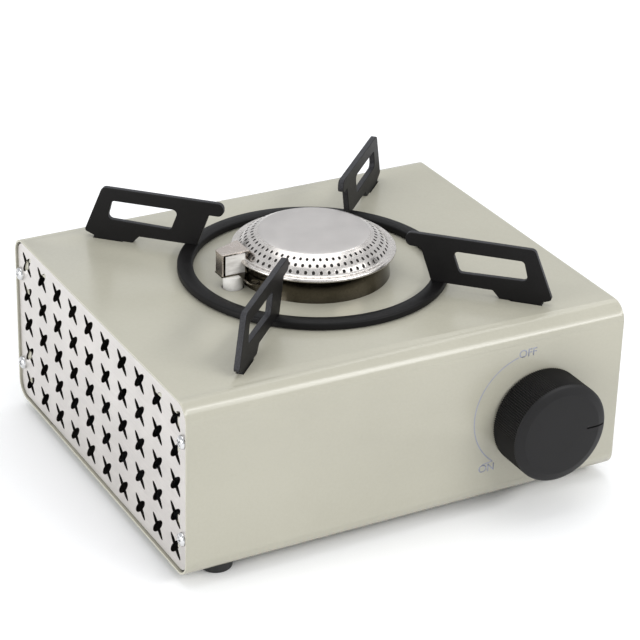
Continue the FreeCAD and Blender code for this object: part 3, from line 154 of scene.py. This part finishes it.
# Zinc plate on sheet steel, passivated: dull silver with a bluish crystal mottle.
zinc_plate = finish("zinc_plated_steel", "#A9ACB0", "#C3C6C9", (0.32, 0.48), 1.2, 0.004,
                    patch=8.0, contrast=0.5, Metallic=1.0)
# Heat-proof enamel baked on steel: near-black satin with a slightly gritty skin.
black_enamel = finish("baked_black_enamel", "#0D0C0C", "#151414", (0.42, 0.55), 0.55, 0.02,
                      patch=14.0, contrast=0.6, IOR=1.4, Specular_IOR_Level=0.22)
# The same enamel on laser-cut edges, where the ridged cut shows through as grey specks.
enamel_on_cut = finish("enamel_on_cut_edge", "#171717", "#3E3E42", (0.45, 0.60), 0.45, 0.06,
                       patch=6.0, contrast=0.75, IOR=1.4, Specular_IOR_Level=0.35)
# Spark-eroded ABS, moulded: black with a very fine even texture that scatters light.
moulded_black = finish("moulded_black_abs", "#100F0F", "#161516", (0.46, 0.54), 0.4, 0.012,
                       patch=10.0, contrast=0.6, IOR=1.42, Specular_IOR_Level=0.35)
# ABS, moulded: dark grey, plain and slightly glossy, used inside the box.
moulded_grey = finish("moulded_grey_abs", "#2B2C2F", "#36373A", (0.38, 0.46), 0.8, 0.008,
                      patch=12.0, contrast=0.5, IOR=1.53)
# Natural rubber, moulded: soft black with a bloom of grey dust.
foot_rubber = finish("moulded_rubber", "#171717", "#262626", (0.66, 0.80), 0.7, 0.02,
                     patch=6.0, contrast=0.5, IOR=1.52)
# Steatite ceramic, glazed white: glassy, with a faint unevenness under the glaze.
glazed_ceramic = finish("glazed_steatite", "#E6E4DE", "#F2F0EC", (0.10, 0.18), 1.5, 0.01,
                        patch=4.0, contrast=0.4, IOR=1.52, Coat_Weight=0.6, Coat_Roughness=0.05)
# Silicone sleeve on the ignition lead, extruded: chalky off-white.
silicone_sleeve = finish("extruded_silicone", "#D2CFC6", "#E0DDD4", (0.55, 0.68), 0.8, 0.008,
                         patch=9.0, contrast=0.5, IOR=1.42)
# Zinc alloy, die cast: grey, with the flow marks of the metal in the die.
cast_alloy = finish("die_cast_zinc_alloy", "#96989A", "#B2B4B6", (0.38, 0.55), 1.4, 0.02,
                    patch=7.0, contrast=0.5, Metallic=1.0)
# Brass, turned: yellow and bright, with fine tool rings.
turned_brass = finish("turned_brass", "#C59A48", "#DDB566", (0.16, 0.30), 0.4, 0.004,
                      patch=4.0, contrast=0.6, Metallic=1.0)
# Steel bar, turned: bright grey with fine tool rings.
turned_steel = finish("turned_steel", "#9B9C9E", "#B7B8BA", (0.20, 0.34), 0.4, 0.004,
                      patch=5.0, contrast=0.6, Metallic=1.0)
# Sintered magnet, nickel plated: bright, with the grain of the sinter below.
plated_magnet = finish("nickel_plated_magnet", "#A7A6A4", "#C0BFBC", (0.18, 0.32), 0.6, 0.01,
                       patch=3.0, contrast=0.6, Metallic=1.0)
# Flame ports seen from outside: painted shadow for the unlit inside of the burner, dulled by heat.
port_shadow = finish("painted_shadow_in_ports", "#15120F", "#241E19", (0.60, 0.80), 0.5, 0.004,
                     patch=2.0, contrast=0.5, IOR=1.5)
# Screen-printed epoxy ink: thin, matte and bluish grey, a little uneven at the mesh's pitch.
printed_ink = finish("screen_printed_ink", "#888B99", "#989BA8", (0.50, 0.60), 0.35, 0.004,
                     patch=3.0, contrast=0.6, IOR=1.5)

FINISH_OF_SLOT = {
    "box_paint": powder_coat, "panel_steel": rolled_stainless, "screw_steel": chrome_plate,
    "zinc_steel": zinc_plate, "foot_rubber": foot_rubber, "burner_steel": buffed_stainless,
    "hood_steel": nickel_plate, "ceramic": glazed_ceramic, "knob_plastic": moulded_black,
    "moulded_plastic": moulded_grey, "lead_sleeve": silicone_sleeve, "cast_alloy": cast_alloy,
    "brass": turned_brass, "shaft_steel": turned_steel, "magnet": plated_magnet,
    "stand_paint": black_enamel,
}


# ---------------------------------------------------------------- modelling helpers
def only(piece):
    """Leaves nothing chosen but this piece."""
    bpy.ops.object.select_all(action="DESELECT")
    piece.select_set(True)
    bpy.context.view_layer.objects.active = piece


def named(name):
    """Names the piece just added and puts its place into its mesh."""
    bpy.ops.object.transform_apply(location=True, rotation=True, scale=True)
    piece = bpy.context.object
    piece.name = name
    piece.data.name = name
    return piece


def pick(piece, kind, test):
    """Opens a piece for editing with only the corners, edges or faces that pass the test chosen."""
    only(piece)
    bpy.ops.object.mode_set(mode="EDIT")
    bpy.ops.mesh.select_mode(type=kind)
    bpy.ops.mesh.select_all(action="DESELECT")
    bpy.ops.object.mode_set(mode="OBJECT")
    mesh = piece.data
    for part in {"VERT": mesh.vertices, "EDGE": mesh.edges, "FACE": mesh.polygons}[kind]:
        part.select = test(part)
    bpy.ops.object.mode_set(mode="EDIT")


def done(piece, smooth_below=30):
    """Closes a piece and shades it smooth where its faces meet at less than this many degrees."""
    bpy.ops.object.mode_set(mode="OBJECT")
    only(piece)
    bpy.ops.object.shade_smooth_by_angle(angle=math.radians(smooth_below))
    return piece


def changed(piece, kind, **settings):
    """Adds a modifier and applies it."""
    only(piece)
    modifier = piece.modifiers.new(kind.lower(), kind)
    for name, value in settings.items():
        setattr(modifier, name, value)
    bpy.ops.object.modifier_apply(modifier=modifier.name)


def eased(piece, width, segments):
    """Rounds every sharp edge by a width in mm and keeps the flat faces' shading flat."""
    changed(piece, "BEVEL", width=width * MM, segments=segments, limit_method="ANGLE",
            angle_limit=math.radians(40))
    done(piece)
    changed(piece, "WEIGHTED_NORMAL", keep_sharp=True)
    return piece


def outlined(name, points):
    """A line drawn from point to point, left open for editing with all of it chosen."""
    bpy.ops.object.select_all(action="DESELECT")
    bpy.ops.mesh.primitive_plane_add(size=MM, location=points[0])
    piece = named(name)
    bpy.ops.object.mode_set(mode="EDIT")
    bpy.ops.mesh.select_mode(type="VERT")
    bpy.ops.mesh.select_all(action="SELECT")
    bpy.ops.mesh.merge(type="CENTER")
    for here, there in zip(points, points[1:]):
        bpy.ops.mesh.extrude_region_move(TRANSFORM_OT_translate={"value": there - here})
    bpy.ops.mesh.select_all(action="SELECT")
    return piece


def turned(name, middle, axis, profile, steps):
    """A piece spun about an axis. The profile's points are (radius, distance along the axis)."""
    out = Y if axis.x else X
    piece = outlined(name, [middle + (out * radius + axis * along) * MM for radius, along in profile])
    bpy.ops.mesh.spin(steps=steps, angle=math.tau, center=middle, axis=axis)
    bpy.ops.mesh.select_all(action="SELECT")
    bpy.ops.mesh.remove_doubles(threshold=MERGE)
    bpy.ops.mesh.normals_make_consistent(inside=False)
    bpy.ops.object.mode_set(mode="OBJECT")
    return piece


def plate(name, corner, outline, low, high, round_edge):
    """A flat sheet. Its outline is (x, y) in mm from a corner, low and high its two levels."""
    piece = outlined(name, [corner + Vector((x, y, low)) * MM for x, y in outline])
    bpy.ops.mesh.edge_face_add()
    bpy.ops.mesh.extrude_region_move(TRANSFORM_OT_translate={"value": Z * (high - low) * MM})
    bpy.ops.mesh.select_all(action="SELECT")
    bpy.ops.mesh.normals_make_consistent(inside=False)
    bpy.ops.object.mode_set(mode="OBJECT")
    return eased(piece, round_edge, 2)


def softened(name, node, width, segments=2):
    """A copy of a CAD node with its sharp edges rounded."""
    piece = bpy.data.objects.new(name, frame["nodes"][node].data.copy())
    bpy.context.scene.collection.objects.link(piece)
    only(piece)
    bpy.ops.mesh.customdata_custom_splitnormals_clear()
    bpy.ops.object.mode_set(mode="EDIT")
    bpy.ops.mesh.select_all(action="SELECT")
    bpy.ops.mesh.remove_doubles(threshold=MERGE)
    bpy.ops.mesh.dissolve_limited(angle_limit=math.radians(0.5))
    bpy.ops.object.mode_set(mode="OBJECT")
    return eased(piece, width, segments)


def cut(piece, cutter):
    """Takes the cutter's shape out of the piece."""
    changed(piece, "BOOLEAN", object=cutter, operation="DIFFERENCE", solver="EXACT")
    bpy.data.objects.remove(cutter)


def placed(pattern, name, place, turn):
    """A copy of a pattern piece, with its own mesh, turned and put at its place."""
    piece = bpy.data.objects.new(name, pattern.data.copy())
    bpy.context.scene.collection.objects.link(piece)
    piece.matrix_world = Matrix.Translation(place) @ turn
    only(piece)
    return named(name)


def joined(name, pieces):
    """Several solids as one piece."""
    only(pieces[0])
    for piece in pieces[1:]:
        piece.select_set(True)
    bpy.ops.object.join()
    pieces[0].name = name
    return pieces[0]


def painted(piece, *materials):
    piece.data.materials.clear()
    for material in materials:
        piece.data.materials.append(material)


def refaced(piece, index, test):
    """Gives the faces that pass the test the piece's material of this number."""
    pick(piece, "FACE", test)
    piece.active_material_index = index
    bpy.ops.object.material_slot_assign()
    bpy.ops.object.mode_set(mode="OBJECT")


def shown(piece, body, slot, *nodes):
    """Puts a finished piece on its body, in place of its CAD nodes; slot is not used."""
    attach(piece, body)
    if nodes:
        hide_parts(*nodes)


def from_burner(point):
    """Radius in mm and turn in radians of a point about the burner's axis."""
    arm = point - BURNER
    return math.hypot(arm.x, arm.y) / MM, math.atan2(arm.y, arm.x) % math.tau


# ---------------------------------------------------------------- CAD nodes keep their shape
for subpart in frame["record"]["subparts"]:
    for holder in frame["nodes"][subpart["node"]].material_slots:
        holder.material = FINISH_OF_SLOT[subpart["material_slot"]]

# ---------------------------------------------------------------- box
# The painted shade inside the box stops this far from the sheet's ends, so the inner rim by the end panels
# keeps the coat's colour.
PAINTED_SHADE_END = box_high.x - 1.6 * MM


def in_painted_shade(face):
    """A face that looks into the box from the sheet's inner side, and so gets the painted shade."""
    inward = Vector((0, (box_low.y + box_high.y) / 2, (box_low.z + box_high.z) / 2)) - face.center
    inset = min(face.center.y - box_low.y, box_high.y - face.center.y,
                face.center.z - box_low.z, box_high.z - face.center.z)
    return (inset > 0.9 * MM and abs(face.normal.x) < 0.5 and face.normal.dot(inward) > 0
            and abs(face.center.x) < PAINTED_SHADE_END)


box = softened("box_sheet", "housing_shell", 0.3)
painted(box, powder_coat, painted_shade_inside)
for rim in (-PAINTED_SHADE_END, PAINTED_SHADE_END):
    pick(box, "FACE", lambda face: True)
    bpy.ops.mesh.bisect(plane_co=X * rim, plane_no=X)
    bpy.ops.object.mode_set(mode="OBJECT")
# Faces inside the box get the painted shade in place of the coat.
refaced(box, 1, in_painted_shade)
shown(box, "housing", "box_paint", "housing_shell")

# ---------------------------------------------------------------- pierced end panels
for side in ("left", "right"):
    low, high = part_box(f"side_panel_{side}")
    grille = softened(f"end_grille_{side}", f"side_panel_{side}", 0.04)
    # The walls of the holes get painted shade.
    painted(grille, rolled_stainless, shaded_hole_walls)
    refaced(grille, 1, lambda face: abs(face.normal.x) < 0.3 and min(
        face.center.y - low.y, high.y - face.center.y,
        face.center.z - low.z, high.z - face.center.z) > 1 * MM)
    shown(grille, "housing", "panel_steel", f"side_panel_{side}")

# ---------------------------------------------------------------- end-panel screws
# A pan head, round at the top, with a cross recess that narrows downwards.
HEAD_RADIUS, HEAD_HEIGHT = 3.5, 2.3
RECESS_SPAN, RECESS_WIDTH, RECESS_DEPTH, RECESS_TAPER = 3.9, 0.95, 1.5, 0.55
pattern_screw = turned("screw_pattern", Vector((0, 0, 0)), Z, [
    (0, HEAD_HEIGHT), (1.4, 2.27), (2.2, 2.15), (2.8, 1.85), (3.2, 1.4), (3.43, 0.8),
    (HEAD_RADIUS, 0.25), (3.4, 0), (1.75, 0), (1.75, -6.2), (1.0, -7.0), (0, -7.0)], 48)
for turn in (0, math.pi / 2):
    bpy.ops.object.select_all(action="DESELECT")
    bpy.ops.mesh.primitive_cube_add(size=MM, location=(0, 0, 1.75 * MM), rotation=(0, 0, turn),
                                    scale=(RECESS_SPAN, RECESS_WIDTH, RECESS_DEPTH))
    recess = named("recess_arm")
    pick(recess, "FACE", lambda face: face.normal.z < -0.9)
    bpy.ops.transform.resize(value=(RECESS_TAPER, RECESS_TAPER, 1), center_override=(0, 0, MM))
    bpy.ops.object.mode_set(mode="OBJECT")
    cut(pattern_screw, recess)
painted(pattern_screw, chrome_plate)
done(pattern_screw, 35)

for side, out in (("left", -1), ("right", 1)):
    node = f"side_panel_screws_{side}"
    low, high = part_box(node)
    seat = (high.x if out > 0 else low.x) - out * HEAD_HEIGHT * MM
    spots = [(y, z) for y in (low.y + HEAD_RADIUS * MM, high.y - HEAD_RADIUS * MM)
             for z in (low.z + HEAD_RADIUS * MM, high.z - HEAD_RADIUS * MM)]
    facing = Matrix.Rotation(out * math.pi / 2, 4, "Y")
    screws = [placed(pattern_screw, f"{side}_screw_{count}", (seat, y, z),
                     facing @ Matrix.Rotation(math.radians(17 + 31 * count), 4, "Z"))
              for count, (y, z) in enumerate(spots)]
    screws = joined(f"end_screws_{side}", screws)
    shown(screws, "housing", "screw_steel", node)
bpy.data.objects.remove(pattern_screw)

# ---------------------------------------------------------------- burner cap
# Every second face of a row is a port: (inner radius, outer radius, which of the two).
CAP_STEPS = 120
PORT_ROWS = ((29.6, 31.6, 0), (32.8, 34.7, 1), (35.5, 37.0, 0))
cap = turned("burner_crown", BURNER, Z, [
    (0, 21.75), (12, 21.7), (22, 21.6), (26.6, 21.45), (27.6, 21.3), (28.2, 20.95), (28.9, 20.6),
    (29.6, 20.3), (31.6, 19.25), (32.8, 18.5), (34.7, 17.15), (35.5, 16.25), (37.0, 14.4),
    (37.3, 14.08), (37.9, 13.75), (38.8, 13.8), (39.6, 14.0), (40.3, 13.85), (40.8, 13.35),
    (40.95, 12.75), (40.75, 12.2), (40.2, 12.0), (39.6, 12.3), (38.9, 12.9), (37.9, 13.0),
    (36.4, 13.4), (32.6, 17.6), (28.0, 20.2), (14, 20.8), (0, 20.85)], CAP_STEPS)


def is_port(face):
    """A face on the cap's slope that holds a flame port."""
    radius, turn = from_burner(face.center)
    column = int(turn / math.tau * CAP_STEPS)
    return face.normal.z > 0.1 and any(inner < radius < outer and column % 2 == shift
                                       for inner, outer, shift in PORT_ROWS)


painted(cap, buffed_stainless, satin_stainless, port_shadow)
CAP_TOP_RADIUS = 27.6
refaced(cap, 1, lambda face: from_burner(face.center)[0] < CAP_TOP_RADIUS and face.normal.z > 0.9)
pick(cap, "FACE", is_port)
bpy.ops.mesh.inset(thickness=0.02 * MM, depth=0, use_individual=True)
# The ports' faces get the painted shadow.
cap.active_material_index = 2
bpy.ops.object.material_slot_assign()
bpy.ops.mesh.inset(thickness=0.03 * MM, depth=-0.15 * MM, use_individual=True)
bpy.ops.mesh.inset(thickness=0.03 * MM, depth=-0.5 * MM, use_individual=True)
bpy.ops.object.mode_set(mode="OBJECT")
changed(cap, "SUBSURF", levels=1, render_levels=1)
done(cap, 40)
shown(cap, "housing", "burner_steel", "burner_cap")

# ---------------------------------------------------------------- burner bowl
bowl = turned("burner_dish", BURNER, Z, [
    (38.4, 0), (38.3, 0.6), (38.1, 2), (37.9, 4), (37.7, 7), (37.5, 10), (37.4, 12), (37.6, 12.6),
    (37.4, 13.0), (36.8, 13.0), (36.5, 12.2), (36.5, 4), (36.9, 1.5), (37.2, 0), (38.4, 0)], 128)
# The bowl's dark colour is a painted reflection.
painted(bowl, dark_reflection_stainless)
done(bowl, 50)
shown(bowl, "housing", "burner_steel", "burner_bowl")

# ---------------------------------------------------------------- spark hood
# A base plate with an ear, folded side and back walls, a roof and a mica liner in the
# mouth. Outlines are (x, y) from the corner of the hood's box.
HOOD_SHEET, ROOF_UNDERSIDE, LINER_TOP = 0.8, 11.4, 10.8
hood_corner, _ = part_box("spark_hood")
base = plate("hood_base", hood_corner, [
    (0, 15.4), (8.9, 15.4), (8.2, 4.2), (8.7, 2.4), (9.95, 1.2), (11.7, 0.7), (13.45, 1.2), (14.6, 2.4),
    (14.9, 4.2), (12.9, 15.4), (10.5, 27), (0, 23)], 0, HOOD_SHEET, 0.12)
bpy.ops.object.select_all(action="DESELECT")
bpy.ops.mesh.primitive_cylinder_add(radius=2.3 * MM, depth=4 * MM, vertices=48,
                                    location=hood_corner + Vector((11.7, 4.2, 0.4)) * MM)
cut(base, named("ear_hole"))
walls = plate("hood_walls", hood_corner, [
    (0, 15.4), (0, 22.2), (0.25, 22.85), (0.8, 23.3), (10.5, 27), (10.8, 26.2), (1.2, 22.5), (0.8, 22),
    (0.8, 15.4)], HOOD_SHEET, ROOF_UNDERSIDE + 0.1, 0.1)
roof = plate("hood_roof", hood_corner, [(0, 15.4), (14.8, 15.4), (14.8, 28.8), (0, 23)],
             ROOF_UNDERSIDE, ROOF_UNDERSIDE + HOOD_SHEET, 0.25)
liner = plate("hood_liner", hood_corner, [(2.1, 15.7), (12.7, 15.7), (12.7, 16.1), (2.1, 16.1)],
              HOOD_SHEET, LINER_TOP, 0.1)
# The base's dark colour is a painted reflection.
painted(base, dark_reflection_stainless)
for sheet in (walls, roof):
    painted(sheet, nickel_plate)
painted(liner, pressed_mica)
hood = joined("ignition_hood", [base, walls, roof, liner])
shown(hood, "housing", "hood_steel", "spark_hood")

# ---------------------------------------------------------------- pan stand
ring_low, ring_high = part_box("stand_ring")
RING_FOOT = (ring_low.z - DECK) / MM
RING_TOP = (ring_high.z - DECK) / MM
RING_INNER, RING_OUTER = 59.6, 67.4
ring = turned("stand_hoop", BURNER, Z, [
    (RING_INNER + 0.3, RING_FOOT), (RING_INNER, RING_FOOT + 0.3), (RING_INNER, RING_TOP - 0.9),
    (RING_INNER + 0.2, RING_TOP - 0.4), (RING_INNER + 0.8, RING_TOP), (RING_OUTER - 0.8, RING_TOP),
    (RING_OUTER - 0.2, RING_TOP - 0.4), (RING_OUTER, RING_TOP - 0.9), (RING_OUTER, RING_FOOT + 0.3),
    (RING_OUTER - 0.3, RING_FOOT), (RING_INNER + 0.3, RING_FOOT)], 180)
painted(ring, black_enamel)
done(ring, 40)
shown(ring, "trivet", "stand_paint", "stand_ring")

# Each arm is a flat plate on edge; its normal lies across the diagonal that it stands on.
for arm_name, across in (("front_left", -1), ("front_right", 1), ("back_left", 1), ("back_right", -1)):
    plate_normal = Vector((1, across, 0)).normalized()
    arm = softened(f"arm_{arm_name}", f"stand_arm_{arm_name}", 0.4)
    painted(arm, black_enamel, enamel_on_cut)
    refaced(arm, 1, lambda face: abs(face.normal.dot(plate_normal)) < 0.3)
    shown(arm, "trivet", "stand_paint", f"stand_arm_{arm_name}")

# ---------------------------------------------------------------- knob
KNOB_STEPS = 280
KNOB_RADIUS, KNURL_LENGTH, VALLEY = 25.8, 18.5, 0.977
knob = turned("control_knob", KNOB, -Y, [
    (0, 21), (10, 21), (20.7, 21), (21.1, 20.96), (21.5, 20.84), (24.3, 19.9), (24.8, 19.65),
    (25.4, 19.2), (25.75, 18.8), (KNOB_RADIUS, 18.4), (KNOB_RADIUS, 9), (KNOB_RADIUS, 1.2),
    (KNOB_RADIUS, 0), (23.6, 0), (23.6, 17), (6, 17), (6, 1.5), (3.1, 1.5), (3.1, 10), (0, 10)], KNOB_STEPS)


def is_valley(corner):
    """Every second corner of the knob's skirt, which makes the fine knurl."""
    arm = corner.co - KNOB
    column = round(math.atan2(arm.z, arm.x) / math.tau * KNOB_STEPS)
    along = -arm.y / MM
    return math.hypot(arm.x, arm.z) / MM > KNOB_RADIUS - 0.1 and along < KNURL_LENGTH and column % 2 == 1


pick(knob, "VERT", is_valley)
bpy.ops.transform.resize(value=(VALLEY, 1, VALLEY), center_override=KNOB)
bpy.ops.object.mode_set(mode="OBJECT")
bpy.ops.object.select_all(action="DESELECT")
groove_middle = KNOB + Vector((19.55, -20.9, 0)) * MM
GROOVE_WIDTH = 0.8
bpy.ops.mesh.primitive_cube_add(size=MM, location=groove_middle, scale=(10.5, 3, GROOVE_WIDTH))
groove = named("groove_cutter")
pick(groove, "EDGE", lambda edge: abs((groove.data.vertices[edge.vertices[0]].co
                                       - groove.data.vertices[edge.vertices[1]].co).y) > MM)
bpy.ops.mesh.bevel(offset=(GROOVE_WIDTH / 2 - 0.01) * MM, segments=4)
bpy.ops.object.mode_set(mode="OBJECT")
cut(knob, groove)
painted(knob, moulded_black)
done(knob, 25)
shown(knob, "knob", "knob_plastic", "knob")

# ---------------------------------------------------------------- print round the knob
# The arc's middle is not the knob's: the line comes nearer to the knob at the ON end.
INK = 0.03
LETTER_HEIGHT = 5.8
dial = Vector((KNOB.x, FRONT, KNOB.z))
ARC_MIDDLE = dial + Vector((-5.2, 0, 4.4)) * MM
ARC_RADIUS, ARC_LINE = 30.8, 0.6
arc_start, arc_end = math.radians(104.5), math.radians(231.9)


def on_dial(middle, radius, turn):
    """A point on the front face, at a radius in mm and a turn about a middle."""
    return middle + Vector((math.cos(turn), 0, math.sin(turn))) * radius * MM


def inked(flat):
    """Gives a flat print its thickness, half of it proud of the box, and its ink."""
    changed(flat, "SOLIDIFY", thickness=INK * MM, offset=0)
    painted(flat, printed_ink)
    shown(flat, "housing", "box_paint")


arc = outlined("dial_arc", [on_dial(ARC_MIDDLE, ARC_RADIUS - ARC_LINE / 2, arc_start),
                            on_dial(ARC_MIDDLE, ARC_RADIUS + ARC_LINE / 2, arc_start)])
bpy.ops.mesh.spin(steps=60, angle=arc_end - arc_start, center=ARC_MIDDLE, axis=Y)
bpy.ops.object.mode_set(mode="OBJECT")
inked(arc)

arc_tip = on_dial(ARC_MIDDLE, ARC_RADIUS, arc_end)
barb = outlined("dial_barb", [arc_tip - Z * ARC_LINE / 2 * MM, arc_tip + Z * ARC_LINE / 2 * MM])
bpy.ops.mesh.extrude_region_move(TRANSFORM_OT_translate={"value": Vector((-5.9, 0, -0.8)) * MM})
bpy.ops.object.mode_set(mode="OBJECT")
inked(barb)

for word, turn, radius in (("OFF", 102.4, 36.4), ("ON", 220.0, 35.9)):
    bpy.ops.object.select_all(action="DESELECT")
    bpy.ops.object.text_add(location=on_dial(dial, radius, math.radians(turn)), rotation=(math.pi / 2, 0, 0))
    label = bpy.context.object
    label.data.body = word
    label.data.size = LETTER_HEIGHT * MM
    label.data.offset = 0.06 * MM
    label.data.align_x, label.data.align_y = "CENTER", "CENTER"
    bpy.ops.object.convert(target="MESH")
    inked(named(f"dial_{word.lower()}"))

# ---------------------------------------------------------------- feet
feet = softened("foot_pads", "rubber_feet", 0.6, 3)
painted(feet, foot_rubber)
shown(feet, "housing", "foot_rubber", "rubber_feet")

# ---------------------------------------------------------------- room, light and camera
bpy.ops.object.select_all(action="DESELECT")
bpy.ops.mesh.primitive_plane_add(size=8, location=(0, 0, 0))
floor = bpy.context.object
floor.name = "floor"
# Studio paper: matte white, with the soft tooth of pulp.
paper = finish("studio_paper", "#F4F4F4", "#F8F8F8", (0.9, 0.95), 0.8, 0.002, patch=400.0)
painted(floor, paper)

world = bpy.data.worlds.new("studio")
bpy.context.scene.world = world
world.use_nodes = True
world.node_tree.nodes["Background"].inputs["Color"].default_value = (0.95, 0.97, 1.0, 1.0)
world.node_tree.nodes["Background"].inputs["Strength"].default_value = 0.8


def lamp(name, place, width, height, power, target=(0, 0, 0.05)):
    """A soft box that faces the stove. Its place and sizes are metres."""
    data = bpy.data.lights.new(name, "AREA")
    data.shape = "RECTANGLE"
    data.size, data.size_y, data.energy = width, height, power
    thing = bpy.data.objects.new(name, data)
    bpy.context.scene.collection.objects.link(thing)
    thing.location = place
    thing.rotation_euler = (Vector(place) - Vector(target)).to_track_quat("Z", "Y").to_euler()


lamp("key", (0.95, -1.55, 1.30), 1.6, 0.30, 20)
lamp("back_strip", (0.87, 0.9, 1.56), 1.2, 0.15, 2)
lamp("left_fill", (-1.7, -0.2, 0.45), 1.1, 0.7, 16)
lamp("top", (0.1, 0.3, 2.0), 1.6, 1.6, 12)

camera_data = bpy.data.cameras.new("camera")
camera_data.lens, camera_data.sensor_width = 134.14, 36.0
camera = bpy.data.objects.new("camera", camera_data)
bpy.context.scene.collection.objects.link(camera)
camera.location = (-0.51631, -0.92256, 0.61089)
look = Vector((0.43443, 0.77832, -0.45330))
CAMERA_ROLL = math.radians(1.632)
camera.rotation_mode = "QUATERNION"
roll = Matrix.Rotation(CAMERA_ROLL, 4, "Z").to_quaternion()
camera.rotation_quaternion = look.to_track_quat("-Z", "Y") @ roll
camera_data.clip_end = 30
bpy.context.scene.camera = camera
